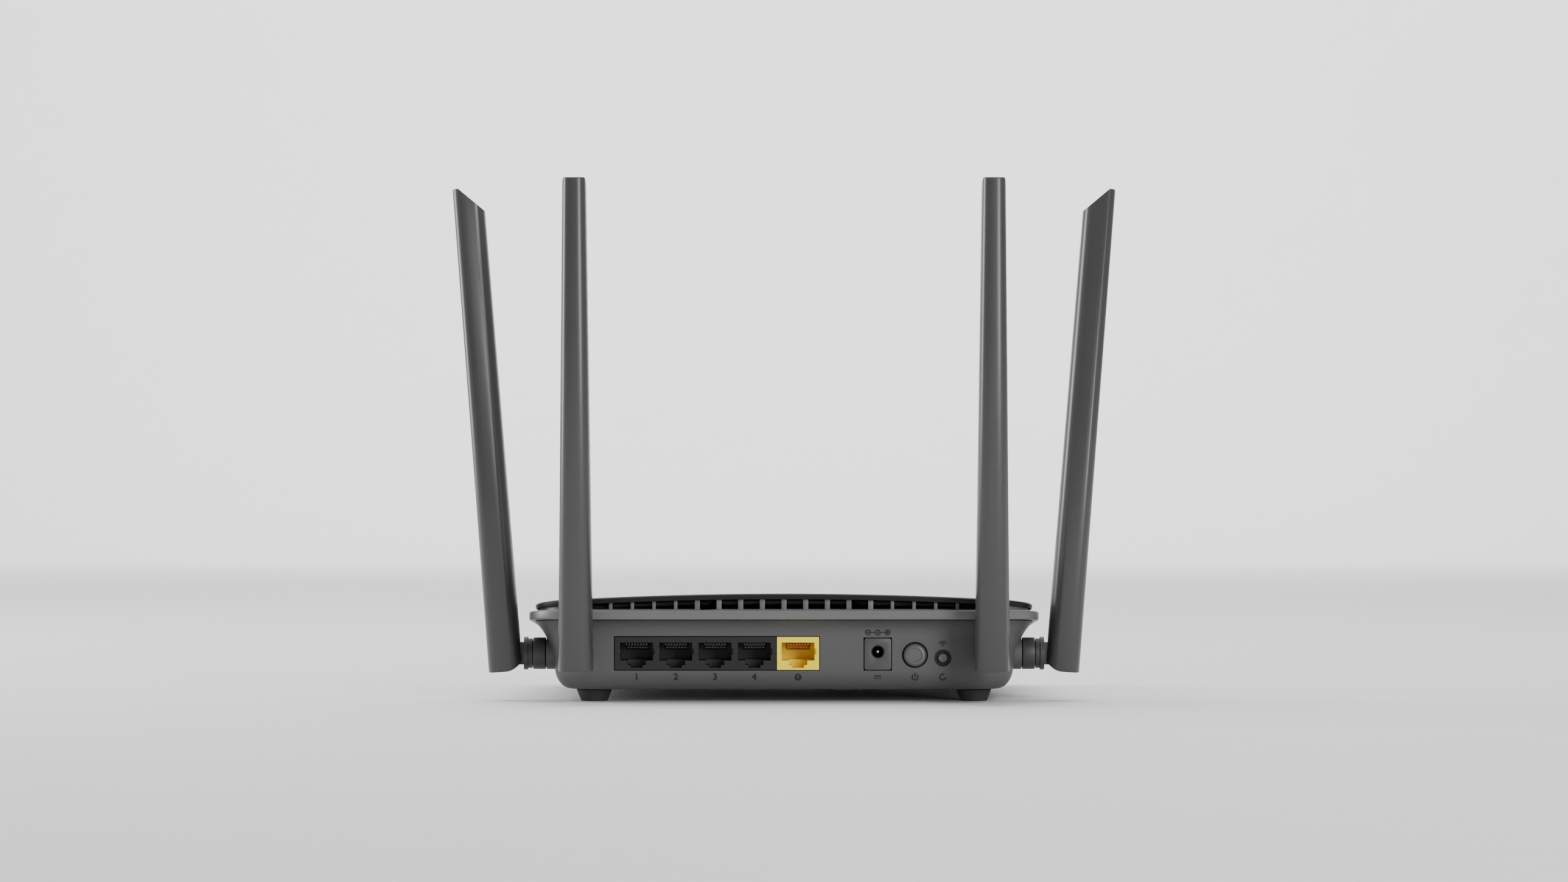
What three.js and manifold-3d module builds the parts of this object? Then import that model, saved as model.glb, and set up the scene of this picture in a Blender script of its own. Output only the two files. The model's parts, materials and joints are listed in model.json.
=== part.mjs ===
// A table-top wireless router: a wedge-shaped casing on four feet, a bank of
// wired sockets on its rear face, and four aerials that swivel and tilt.
// Millimetres, +Z up, +Y towards the router's front, rear wall near y = 0.
import * as THREE from 'three';
import { mergeVertices } from 'three/addons/utils/BufferGeometryUtils.js';
import Module from 'manifold-3d';

const wasm = await Module();
wasm.setup();

// ---------------------------------------------------------------- dimensions

const gap = 0.3;                 // left between neighbouring pieces
const wall = 2;                  // casing wall

const casing = {
  halfWidth: 82.2,               // half the width over the upright lower wall
  depth: 138,                    // rear wall to front wall
  lift: 4.5,                     // height of the casing's underside, set by the feet
  corner: 15,                    // plan radius of the upright corners
  edgeInset: 5.7,                // rounding under the walls, across
  edgeHeight: 8,                 // and up
  flareStart: 6.5,               // the side walls lean outwards above this
  flareRadius: 27,
  endFlareStart: 19,             // the rear and front walls lean later and less
  endFlareRadius: 6.5,
  seam: 25,                      // joint between the casing halves, at the rear
  frontScale: 0.6,               // height at the front as a share of the rear
  flatBand: 3,                   // the lowest band, which keeps its height
  floor: 2,
};
const rim = { overhang: 1.9, height: 3.55, round: 0.7, shelf: 3.8 };
const deck = { top: 32.7, thickness: 1.4 };
const panel = {
  top: 34.4, skirt: 2, lap: 1.5, wall: 1.2, bevel: 1,
  crown: 2.41316,                // how much lower it is over the side walls than in the middle
};
const vent = { pitch: 7.7, ribs: 17, broadRibs: 9, broad: 1.8, slim: 1.2, sill: 0.3, run: 12 };
const label = { width: 62, depth: 34, y: casing.depth - 26, thickness: 0.2, recess: 0.5 };
const underVent = {
  count: 6, first: 16, pitch: 7, width: 2.6, length: 30, centre: label.y - label.depth / 2 - 35,
};
const keyhole = { spacing: 110, y: casing.depth - 38, head: 8, shank: 4, run: 8 };

const board = {
  halfWidth: casing.halfWidth - 20.2, rear: 1.5 + wall, depth: casing.depth - 20,
  bottom: 5.3, thickness: 1.6, pillar: 5, pillarInset: [5, 8], hole: 3,
};
const socketBottom = board.bottom + board.thickness + gap;
const jackPitch = 13.97;
const jack = {
  bottom: socketBottom, top: socketBottom + 11.7, depth: 21, proud: 0.3, cavityDepth: 13.5,
  mouthWidth: jackPitch - 2.27, mouthTop: 2, mouthHeight: 6.4,
  latchWidth: 6.6, latchHeight: 1.6, tongueWidth: 4.3, tongueHeight: 1,
  contactPitch: 1.02, contacts: 8, contactWidth: 0.5, contactDrop: 1.6,
};
const lan = { centre: -31.5, width: jackPitch * 4 + 1.52, count: 4 };
const wanWidth = 15;
const wan = { centre: lan.centre + (lan.width + wanWidth) / 2 + gap, width: wanWidth };
const powerInlet = {
  x: 33.35, width: 9.5, bottom: socketBottom, top: socketBottom + 11.2, depth: 13.5,
  bore: 4.1, boreZ: 13.6, pin: 1.3, pinBack: 1.6,
};
const powerCap = 8.14;
const powerButton = {
  x: 46.6, z: 12.5, hole: powerCap + 1.12, cap: powerCap, proud: 1.9, travel: 2,
  flange: powerCap + 2.46, flangeThickness: 1.2, stem: 4, reach: 11.6,
  switchSide: 8, switchDepth: 9,
};
const pairingFlange = 7.6;
const pairingButton = {
  x: powerButton.x + (powerButton.flange + pairingFlange) / 2 + 0.8, z: 11.4,
  hole: 6.06, cap: 3.4, inset: 0.6, travel: 0.8, flange: pairingFlange,
  flangeThickness: 1, stem: 3, reach: 8.4, switchSide: 6, switchDepth: 4,
};
const foot = {
  x: casing.halfWidth - 14.2, rear: 15, front: casing.depth - 15,
  top: 12.8, bottom: 9.4, peg: 8, pegHeight: 0.9,
};
const screw = {
  x: casing.halfWidth - 9.2, rear: 42, front: casing.depth - 32,
  head: 5.6, headHeight: 1.6, shank: 2.8, length: 15,
  well: 7, wellDepth: 3, post: 8, hole: 3.4, pilot: 3.4, joint: 12,
};
const indicator = { count: 6, pitch: 9, width: 4, depth: 1.8, y: casing.depth - 20, bar: 2.4 };

const barrel = 11.4;             // diameter of the aerial hinges
const bossWidth = barrel + 2;
const rearMount = { face: -2.2, neckEnd: 13.4, clearance: 0.1 };
const hinge = {
  sideY: rearMount.face + rearMount.neckEnd + bossWidth / 2 + rearMount.clearance,
  sideZ: 12.4, sideFace: casing.halfWidth + 3,
  rearX: casing.halfWidth - barrel / 2 - 3.1, rearZ: 14.1, rearFace: rearMount.face,
  boss: bossWidth, bossDepth: 10.5, reach: 15,
  barrel, sleeve: 4.5, spigot: barrel - 1.8, spigotLength: 4, neck: barrel - 4, bore: 3.2,
  headLength: 3, collar: barrel + 0.4, collarLength: 1.4, faceToPin: 6.9,
  tongue: 4.4, eye: 4, pin: 3, pinLength: 10,
  ringOuter: barrel - 0.4, ringInner: barrel - 5.2, ringThickness: 0.8, ringOpening: 3.6,
  neckEnd: rearMount.neckEnd, lead: 1.8,
};
const aerial = {
  tail: 6.5, length: 167.5, lean: 4.5, cutRise: 8.7,
  width: 12.4, topWidth: 8.4, inner: 5.9, outer: 6.3, topInner: 5.3, topOuter: 5.7,
  fullness: 2.8,                 // 2 makes the section an oval, more makes it squarer
  sides: 8, tipFlat: 2.1, tipBevel: 0.6, pocket: hinge.eye + 0.7,
  cavityWidth: 6.6, cavityDepth: 3.4,
  cavityTop: 150, stripWidth: 5.6, stripThickness: 0.8, stripStart: 9, stripLength: 132,
};

// ------------------------------------------------------------------- solids

function solidOf(geometry) {
  const bare = geometry.index ? geometry.toNonIndexed() : geometry.clone();
  bare.deleteAttribute('normal');
  bare.deleteAttribute('uv');
  const merged = mergeVertices(bare, 1e-4);
  return new wasm.Manifold(new wasm.Mesh({
    numProp: 3,
    vertProperties: new Float32Array(merged.attributes.position.array),
    triVerts: new Uint32Array(merged.index.array),
  }));
}

function geometryOf(solid) {
  const mesh = solid.getMesh();
  const points = [];
  for (const index of mesh.triVerts) {
    for (let axis = 0; axis < 3; axis += 1) {
      points.push(mesh.vertProperties[index * mesh.numProp + axis]);
    }
  }
  const geometry = new THREE.BufferGeometry();
  geometry.setAttribute('position', new THREE.Float32BufferAttribute(points, 3));
  geometry.computeVertexNormals();
  return geometry;
}

// A box between two corners.
function block(low, high) {
  const size = high.map((value, axis) => value - low[axis]);
  const geometry = new THREE.BoxGeometry(...size);
  geometry.translate(...low.map((value, axis) => value + size[axis] / 2));
  return solidOf(geometry);
}

// A round bar, or a cone, along one axis from one end value to the other.
function bar(axis, from, to, diameter, centre, sides = 16, endDiameter = diameter) {
  const length = to - from;
  const geometry = new THREE.CylinderGeometry(endDiameter / 2, diameter / 2, length, sides);
  geometry.translate(0, length / 2 + from, 0);
  if (axis === 'x') geometry.rotateZ(-Math.PI / 2);
  if (axis === 'z') geometry.rotateX(Math.PI / 2);
  const place = { x: [0, ...centre], y: [centre[0], 0, centre[1]], z: [...centre, 0] }[axis];
  geometry.translate(...place);
  return solidOf(geometry);
}

function join(...solids) {
  return solids.reduce((whole, next) => whole.add(next));
}

function cut(whole, ...tools) {
  return tools.reduce((rest, tool) => rest.subtract(tool), whole);
}

// A skin through rings of equal point count. Each ring runs along the rear
// from left to right, then back along the front, so its caps are strips of
// quads between facing points.
function loft(rings) {
  const count = rings[0].length;
  const corners = [];
  const quad = (a, b, c, d) => corners.push(a, b, c, a, c, d);
  for (let level = 1; level < rings.length; level += 1) {
    const low = rings[level - 1];
    const high = rings[level];
    for (let i = 0; i < count; i += 1) {
      const next = (i + 1) % count;
      quad(low[i], low[next], high[next], high[i]);
    }
  }
  const bottom = rings[0];
  const top = rings[rings.length - 1];
  for (let i = 0; i < count / 2 - 1; i += 1) {
    const facing = count - 1 - i;
    quad(top[i], top[i + 1], top[facing - 1], top[facing]);
    quad(bottom[facing], bottom[facing - 1], bottom[i + 1], bottom[i]);
  }
  const geometry = new THREE.BufferGeometry();
  geometry.setAttribute('position', new THREE.Float32BufferAttribute(corners.flat(), 3));
  return solidOf(geometry);
}

// -------------------------------------------------------- the casing's form

const cornerSteps = 4;
const crownSteps = 8;

// Heights above the flat band shrink evenly towards the front.
function slope(height, y) {
  if (height <= casing.flatBand) return height;
  const share = Math.max(0, y) / casing.depth;
  const scale = 1 - (1 - casing.frontScale) * share;
  return casing.flatBand + (height - casing.flatBand) * scale;
}

function crownDrop(x) {
  return panel.crown * (x / casing.halfWidth) ** 2;
}

// Height over the table of a level of the casing at one place. The share of
// the crown is 1 for levels that follow the panel's crown and 0 for flat ones.
function levelAt(height, x, y, crown = 0) {
  return casing.lift + slope(height - crown * crownDrop(x), y);
}

function arcOffset(rise, radius) {
  const height = Math.min(Math.max(rise, 0), radius);
  return radius - Math.sqrt(radius * radius - height * height);
}

// How far the lower walls stand out from their upright part at a height.
function wallOffsets(height) {
  const rise = Math.min(1, height / casing.edgeHeight);
  const tuck = casing.edgeInset * (1 - Math.sqrt(1 - (1 - rise) ** 2));
  return {
    side: arcOffset(height - casing.flareStart, casing.flareRadius) - tuck,
    end: arcOffset(height - casing.endFlareStart, casing.endFlareRadius) - tuck,
  };
}

// One ring of the casing, with its offsets from the upright walls. A ring that
// is given a share of the crown also has points along its rear and front.
function ring(height, side, end, crown = null) {
  const half = casing.halfWidth + side;
  const corner = casing.corner + (side + end) / 2;
  const edge = [];
  for (let i = 0; i <= cornerSteps; i += 1) {
    const angle = (i / cornerSteps) * (Math.PI / 2);
    edge.push([corner * (1 - Math.cos(angle)) - half, corner * (1 - Math.sin(angle))]);
  }
  const left = [...edge];
  for (let i = 1; crown !== null && i < crownSteps; i += 1) {
    edge.push([(half - corner) * ((2 * i) / crownSteps - 1), 0]);
  }
  edge.push(...left.reverse().map(([x, inset]) => [-x, inset]));
  const rear = edge.map(([x, inset]) => [x, inset - end]);
  const front = edge.map(([x, inset]) => [x, casing.depth + end - inset]).reverse();
  return [...rear, ...front].map(([x, y]) => [x, y, levelAt(height, x, y, crown ?? 0)]);
}

const seamOffsets = wallOffsets(casing.seam);
const rimSide = seamOffsets.side + rim.overhang;
const rimEnd = seamOffsets.end + rim.overhang;
const rimTop = casing.seam + rim.height;
const riserSide = rimSide - rim.shelf;
const riserEnd = rimEnd - rim.shelf;
const boardTop = casing.lift + board.bottom + board.thickness;

// ------------------------------------------------------------------ casing

const screwPlaces = [screw.rear, screw.front].flatMap((y) => [-screw.x, screw.x].map((x) => [x, y]));
const footPlaces = [foot.rear, foot.front].flatMap((y) => [-foot.x, foot.x].map((x) => [x, y]));
const [pillarX, pillarY] = board.pillarInset;
const pillarPlaces = [board.rear + pillarY, board.rear + board.depth - pillarY].flatMap(
  (y) => [-1, 1].map((side) => [side * (board.halfWidth - pillarX), y]),
);

// The four aerial mounts: where the hinge pin is and which way is outwards.
const mounts = [
  { name: 'right_side', heading: 0, x: hinge.sideFace, y: hinge.sideY, z: hinge.sideZ },
  { name: 'left_side', heading: Math.PI, x: -hinge.sideFace, y: hinge.sideY, z: hinge.sideZ },
  { name: 'right_rear', heading: -Math.PI / 2, x: hinge.rearX, y: hinge.rearFace, z: hinge.rearZ },
  { name: 'left_rear', heading: -Math.PI / 2, x: -hinge.rearX, y: hinge.rearFace, z: hinge.rearZ },
];

// A round bar along a mount's own outward direction, measured from its face.
function mountBar(mount, from, to, diameter) {
  const z = mount.z + casing.lift;
  if (mount.heading === 0) return bar('x', mount.x + from, mount.x + to, diameter, [mount.y, z]);
  if (mount.heading === Math.PI) return bar('x', mount.x - to, mount.x - from, diameter, [mount.y, z]);
  return bar('y', mount.y - to, mount.y - from, diameter, [mount.x, z]);
}

function lanCentre(index) {
  return lan.centre + (index - (lan.count - 1) / 2) * jackPitch;
}

function socketOpenings() {
  const back = wall * 3;
  const low = jack.bottom + casing.lift - gap;
  const high = jack.top + casing.lift + gap;
  const left = lan.centre - lan.width / 2 - gap;
  const right = wan.centre + wan.width / 2 + gap;
  const inletLeft = powerInlet.x - powerInlet.width / 2 - gap;
  const inletRight = powerInlet.x + powerInlet.width / 2 + gap;
  const inletLow = powerInlet.bottom + casing.lift - gap;
  const inletHigh = powerInlet.top + casing.lift + gap;
  return [
    block([left, -back, low], [right, back, high]),
    block([inletLeft, -back, inletLow], [inletRight, back, inletHigh]),
    bar('y', -back, back, powerButton.hole, [powerButton.x, powerButton.z + casing.lift], 20),
    bar('y', -back, back, pairingButton.hole, [pairingButton.x, pairingButton.z + casing.lift]),
  ];
}

function underside() {
  const base = casing.lift;
  const tools = [];
  for (const side of [-1, 1]) {
    for (let i = 0; i < underVent.count; i += 1) {
      const x = side * (underVent.first + underVent.pitch * i);
      tools.push(block(
        [x - underVent.width / 2, underVent.centre - underVent.length / 2, base - 1],
        [x + underVent.width / 2, underVent.centre + underVent.length / 2, base + casing.floor + 1],
      ));
    }
    const x = (side * keyhole.spacing) / 2;
    tools.push(bar('z', base - 1, base + casing.floor + 1, keyhole.head, [x, keyhole.y]));
    tools.push(block(
      [x - keyhole.shank / 2, keyhole.y - keyhole.run, base - 1],
      [x + keyhole.shank / 2, keyhole.y, base + casing.floor + 1],
    ));
  }
  tools.push(block(
    [-label.width / 2 - gap, label.y - label.depth / 2 - gap, base - 1],
    [label.width / 2 + gap, label.y + label.depth / 2 + gap, base + label.recess],
  ));
  for (const place of footPlaces) {
    tools.push(bar('z', base - 1, base + foot.pegHeight + gap, foot.peg + 2 * gap, place));
  }
  return tools;
}

function lowerCasing() {
  const edge = casing.edgeHeight;
  const roundLevels = [0, 0.08, 0.27, 0.6, 1].map((share) => share * edge);
  const upperLevels = [12, 16, 19, 21.2, 23.2, casing.seam - gap / 2];
  const outer = loft([...roundLevels, ...upperLevels].map((height) => {
    const { side, end } = wallOffsets(height);
    return ring(height, side, end);
  }));
  const hollowLevels = [casing.floor, 4, edge, 14, 19, 22.5, casing.seam + 2];
  const hollow = loft(hollowLevels.map((height) => {
    const { side, end } = wallOffsets(Math.max(height, edge / 2));
    return ring(height, side - wall, end - wall);
  }));
  const shell = outer.subtract(hollow);
  const bosses = mounts.map((mount) => mountBar(mount, -hinge.bossDepth, 0, hinge.boss));
  const floorTop = casing.lift + casing.floor - 0.5;
  const posts = screwPlaces.map((place) => bar(
    'z', casing.lift + 0.5, casing.lift + screw.joint - gap / 2, screw.post, place,
  ));
  const pillars = pillarPlaces.map((place) => bar(
    'z', floorTop, casing.lift + board.bottom - gap, board.pillar, place, 8,
  ));
  const wells = screwPlaces.flatMap((place) => [
    bar('z', casing.lift - 1, casing.lift + screw.wellDepth, screw.well, place),
    bar('z', casing.lift, casing.lift + screw.joint + 1, screw.hole, place, 8),
  ]);
  const necks = mounts.flatMap((mount) => [
    mountBar(mount, -hinge.bossDepth - 1, 1, hinge.neck + 2 * gap),
    mountBar(mount, -hinge.spigotLength - gap, 1, hinge.spigot + 2 * gap),
    mountBar(mount, 0, hinge.reach, hinge.barrel + 2 * gap),
  ]);
  const whole = join(shell, ...bosses, ...posts, ...pillars);
  return cut(whole, ...wells, ...necks, ...socketOpenings(), ...underside());
}

function ribWidth(index) {
  return Math.abs(index) <= (vent.broadRibs - 1) / 2 ? vent.broad : vent.slim;
}

// Openings between the ribs under the panel's rear edge.
function rearVents() {
  const last = (vent.ribs - 1) / 2;
  const tools = [];
  for (let i = -last - 1; i <= last; i += 1) {
    const left = i * vent.pitch + ribWidth(i) / 2;
    const right = (i + 1) * vent.pitch - ribWidth(i + 1) / 2;
    tools.push(block(
      [left, -rimEnd - 1, casing.lift + rimTop + vent.sill],
      [right, vent.run, casing.lift + deck.top + 2],
    ));
  }
  return tools;
}

function indicatorX(index) {
  return (index - (indicator.count - 1) / 2) * indicator.pitch;
}

function indicatorShaft(index, clearance) {
  const x = indicatorX(index);
  const half = indicator.width / 2 + clearance;
  const reach = indicator.depth / 2 + clearance;
  const low = levelAt(deck.top - deck.thickness, x, indicator.y, 1) - 2;
  const high = levelAt(panel.top, x, indicator.y, 1) + 3;
  return block([x - half, indicator.y - reach, low], [x + half, indicator.y + reach, high]);
}

function indicatorHoles() {
  return Array.from({ length: indicator.count }, (_, index) => indicatorShaft(index, gap));
}

function upperCasing() {
  const base = casing.seam + gap / 2;
  const outer = loft([
    ring(base, rimSide - rim.round, rimEnd - rim.round, 0),
    ring(base + rim.round, rimSide, rimEnd, 0),
    ring(rimTop - rim.round, rimSide, rimEnd, 0),
    ring(rimTop, rimSide - rim.round, rimEnd - rim.round, 0),
    ring(rimTop + 0.02, riserSide, riserEnd, 0),
    ring(deck.top, riserSide, riserEnd, 1),
  ]);
  const ceiling = deck.top - deck.thickness;
  const hollow = loft([
    ring(base - 2, seamOffsets.side - wall, seamOffsets.end - wall, 0),
    ring(base + 0.5, seamOffsets.side - wall, seamOffsets.end - wall, 0),
    ring(rimTop - 1.5, riserSide - wall, riserEnd - wall, 0),
    ring(ceiling, riserSide - wall, riserEnd - wall, 1),
  ]);
  const shell = outer.subtract(hollow);
  const posts = screwPlaces.map(([x, y]) => bar(
    'z', casing.lift + screw.joint + gap / 2, levelAt(ceiling + 0.5, x, y, 1), screw.post, [x, y],
  ));
  const pilots = screwPlaces.map((place) => bar(
    'z', casing.lift + screw.joint - 1, casing.lift + screw.wellDepth + screw.length, screw.pilot, place, 8,
  ));
  return cut(join(shell, ...posts), ...pilots, ...rearVents(), ...indicatorHoles());
}

// The crowned cover over the deck, with a skirt round its edge.
function topPanel() {
  const side = riserSide + panel.lap;
  const end = riserEnd + panel.lap;
  const outer = loft([
    ring(panel.top - panel.skirt, side - 0.2, end - 0.2, 1),
    ring(panel.top - panel.bevel, side, end, 1),
    ring(panel.top - panel.bevel * 0.3, side - panel.bevel * 0.4, end - panel.bevel * 0.4, 1),
    ring(panel.top, side - panel.bevel * 1.4, end - panel.bevel * 1.4, 1),
  ]);
  const hollow = loft([
    ring(panel.top - panel.skirt - 1, side - panel.wall, end - panel.wall, 1),
    ring(deck.top + gap, side - panel.wall, end - panel.wall, 1),
  ]);
  return cut(outer.subtract(hollow), ...indicatorHoles());
}

function footSolid([x, y]) {
  const base = casing.lift - gap;
  const profile = [
    [0, 0], [foot.bottom / 2 - 0.5, 0], [foot.bottom / 2, 0.5], [foot.top / 2, base - 0.4],
    [foot.top / 2, base], [foot.peg / 2, base], [foot.peg / 2, casing.lift + foot.pegHeight],
    [0, casing.lift + foot.pegHeight],
  ];
  const geometry = new THREE.LatheGeometry(profile.map(([r, z]) => new THREE.Vector2(r, z)), 18);
  geometry.rotateX(Math.PI / 2);
  geometry.translate(x, y, 0);
  return solidOf(geometry);
}

function screwSolid([x, y]) {
  const seat = casing.lift + screw.wellDepth - gap;
  const head = bar('z', seat - screw.headHeight, seat, screw.head, [x, y], 12);
  const shank = bar('z', seat - 0.5, seat + screw.length - 2, screw.shank, [x, y], 8);
  const slots = [[0.35, 1.7], [1.7, 0.35]].map(([halfX, halfY]) => block(
    [x - halfX, y - halfY, seat - screw.headHeight - 1],
    [x + halfX, y + halfY, seat - screw.headHeight + 0.9],
  ));
  return cut(join(head, shank), ...slots);
}

function labelSolid() {
  const top = casing.lift + label.recess - gap;
  return block(
    [-label.width / 2, label.y - label.depth / 2, top - label.thickness],
    [label.width / 2, label.y + label.depth / 2, top],
  );
}

// -------------------------------------------------------------- electronics

function circuitBoard() {
  const bottom = casing.lift + board.bottom;
  const plate = block(
    [-board.halfWidth, board.rear, bottom],
    [board.halfWidth, board.rear + board.depth, boardTop],
  );
  const holes = pillarPlaces.map((place) => bar('z', bottom - 1, boardTop + 1, board.hole, place, 8));
  return cut(plate, ...holes);
}

// A plug-shaped cavity with its latch step and tongue slot at the bottom.
function jackCavity(x) {
  const top = casing.lift + jack.top - jack.mouthTop;
  const floor = top - jack.mouthHeight;
  const front = -jack.proud - 1;
  const back = jack.cavityDepth;
  const step = floor - jack.latchHeight;
  return join(
    block([x - jack.mouthWidth / 2, front, floor], [x + jack.mouthWidth / 2, back, top]),
    block([x - jack.latchWidth / 2, front, step], [x + jack.latchWidth / 2, back - 4, floor + 0.1]),
    block(
      [x - jack.tongueWidth / 2, front, step - jack.tongueHeight],
      [x + jack.tongueWidth / 2, back - 4, step + 0.1],
    ),
    block([x - jack.mouthWidth / 2 - 0.6, front, top - 4.2], [x + jack.mouthWidth / 2 + 0.6, 1.6, top - 2]),
  );
}

function jackBlock(centre, width, cavities) {
  const body = block(
    [centre - width / 2, -jack.proud, casing.lift + jack.bottom],
    [centre + width / 2, jack.depth, casing.lift + jack.top],
  );
  const combs = cavities.map((x) => combPocket(x));
  return cut(body, ...cavities.map(jackCavity), ...combs);
}

function combSpan(extra) {
  const half = ((jack.contacts - 1) * jack.contactPitch + jack.contactWidth) / 2;
  return half + extra;
}

// The comb of contacts lies against the cavity's back and hangs from its top.
function combPocket(x) {
  const top = casing.lift + jack.top - jack.mouthTop;
  return block(
    [x - combSpan(0.5), jack.cavityDepth - 0.1, top - 3],
    [x + combSpan(0.5), jack.cavityDepth + 2.2, top],
  );
}

function contactComb(x) {
  const top = casing.lift + jack.top - jack.mouthTop - gap;
  const back = jack.cavityDepth + 1.6;
  const spine = block([x - combSpan(0), back - 1, top - 2.2], [x + combSpan(0), back, top - 0.1]);
  const outline = new THREE.Shape();
  outline.moveTo(back - 0.5, top - 0.1);
  outline.lineTo(1.2, top - 0.1);
  outline.lineTo(1.2, top - 0.6);
  outline.lineTo(6, top - jack.contactDrop);
  outline.lineTo(back - 0.5, top - 1.2);
  const fingers = Array.from({ length: jack.contacts }, (_, index) => {
    const geometry = new THREE.ExtrudeGeometry(outline, {
      depth: jack.contactWidth, bevelEnabled: false,
    });
    const offset = (index - (jack.contacts - 1) / 2) * jack.contactPitch - jack.contactWidth / 2;
    geometry.applyMatrix4(new THREE.Matrix4().set(
      0, 0, 1, x + offset,
      1, 0, 0, 0,
      0, 1, 0, 0,
      0, 0, 0, 1,
    ));
    return solidOf(geometry);
  });
  return join(spine, ...fingers);
}

function inletHousing() {
  const z = casing.lift + powerInlet.boreZ;
  const body = block(
    [powerInlet.x - powerInlet.width / 2, -jack.proud, casing.lift + powerInlet.bottom],
    [powerInlet.x + powerInlet.width / 2, powerInlet.depth, casing.lift + powerInlet.top],
  );
  const bore = bar('y', -1, powerInlet.depth - 3, powerInlet.bore, [powerInlet.x, z], 20);
  const pinHole = bar('y', 4, powerInlet.depth + 1, powerInlet.pin + 2 * gap, [powerInlet.x, z], 12);
  return cut(body, bore, pinHole);
}

function inletPin() {
  const z = casing.lift + powerInlet.boreZ;
  return bar('y', powerInlet.pinBack - 0.4, powerInlet.depth - 0.5, powerInlet.pin, [powerInlet.x, z], 12);
}

// A push cap in the rear wall with a flange behind it and a stem to its switch.
function pushButton(button, frontY) {
  const centre = [button.x, casing.lift + button.z];
  const flangeY = wall + gap;
  return join(
    bar('y', frontY + 0.5, flangeY + 0.2, button.cap, centre, 20),
    bar('y', frontY, frontY + 0.5, button.cap - 1, centre, 20, button.cap),
    bar('y', flangeY, flangeY + button.flangeThickness, button.flange, centre),
    bar('y', flangeY, button.reach, button.stem, centre, 10),
  );
}

function switchBody(button, overhang) {
  const half = button.switchSide / 2;
  const y = button.reach + button.travel + gap;
  return block(
    [button.x - half, y, boardTop + gap],
    [button.x + half, y + button.switchDepth, casing.lift + button.z + overhang],
  );
}

const packages = [
  { name: 'processor', centre: [0, 64], size: [15, 15], height: 1.4 },
  { name: 'radio_shield', centre: [-38, 66], size: [32, 26], height: 3.2 },
  { name: 'lan_transformer', centre: [lan.centre, 34], size: [30, 12], height: 5 },
  { name: 'wan_transformer', centre: [wan.centre, 34], size: [15, 12], height: 5 },
];

function packageSolid({ centre, size, height }) {
  const low = boardTop + gap;
  return block(
    [centre[0] - size[0] / 2, centre[1] - size[1] / 2, low],
    [centre[0] + size[0] / 2, centre[1] + size[1] / 2, low + height],
  );
}

function heatSink() {
  const { centre, height } = packages[0];
  const base = boardTop + 2 * gap + height;
  const half = 15;
  const plate = block(
    [centre[0] - half, centre[1] - half, base],
    [centre[0] + half, centre[1] + half, base + 7],
  );
  const grooves = Array.from({ length: 7 }, (_, index) => {
    const x = centre[0] - half + 2 + index * 4;
    return block([x, centre[1] - half - 1, base + 1.6], [x + 2, centre[1] + half + 1, base + 8]);
  });
  return cut(plate, ...grooves);
}

// A clear bar under the deck with a window for each indicator.
function lightGuide() {
  const width = (indicator.count - 1) * indicator.pitch + indicator.width;
  const roof = levelAt(deck.top - deck.thickness, width / 2, indicator.y + indicator.depth, 1) - gap;
  const rail = block(
    [-width / 2, indicator.y - indicator.depth / 2, roof - indicator.bar],
    [width / 2, indicator.y + indicator.depth / 2, roof],
  );
  const windows = Array.from({ length: indicator.count }, (_, index) => {
    const x = indicatorX(index);
    const top = levelAt(panel.top, x, indicator.y + indicator.depth / 2, 1) - 0.1;
    return block(
      [x - indicator.width / 2, indicator.y - indicator.depth / 2, roof - 0.5],
      [x + indicator.width / 2, indicator.y + indicator.depth / 2, top],
    );
  });
  return join(rail, ...windows);
}

// ------------------------------------------------------------------ aerials
// Each aerial is built round its hinge pin: +X outwards from the casing, +Z up
// the blade, and the pin along Y.

function sleeveSolid() {
  const face = -hinge.reach;
  const tube = bar('x', face + gap, face + gap + hinge.sleeve, hinge.barrel, [0, 0]);
  const spigot = bar('x', face - hinge.spigotLength, face + gap + 0.2, hinge.spigot, [0, 0]);
  const bore = bar('x', face - hinge.spigotLength - 1, 0, hinge.neck + 2 * gap, [0, 0]);
  return cut(join(tube, spigot), bore);
}

function knuckleSolid() {
  const head = -hinge.faceToPin - hinge.headLength;
  const neckEnd = -hinge.reach - hinge.neckEnd;
  const half = hinge.tongue / 2;
  const grooveInner = -hinge.reach - hinge.bossDepth;
  const grooveOuter = grooveInner - hinge.ringThickness - 2 * gap;
  const body = join(
    bar('x', head, -hinge.faceToPin, hinge.barrel - 0.8, [0, 0]),
    bar('x', -hinge.faceToPin - hinge.collarLength, -hinge.faceToPin, hinge.collar, [0, 0]),
    bar('x', neckEnd, head + 0.5, hinge.neck, [0, 0]),
    block([-hinge.faceToPin - 0.3, -half, -hinge.eye], [0, half, hinge.eye]),
    bar('y', -half, half, hinge.eye * 2, [0, 0]),
  );
  const groove = bar('x', grooveOuter, grooveInner, hinge.neck + 1, [0, 0])
    .subtract(bar('x', grooveOuter - 1, grooveInner + 1, hinge.ringInner - 2 * gap, [0, 0]));
  return cut(
    body,
    groove,
    bar('x', neckEnd - 1, head + 1, hinge.bore, [0, 0], 10),
    bar('y', -half - 1, half + 1, hinge.pin + 2 * gap, [0, 0], 12),
  );
}

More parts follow.
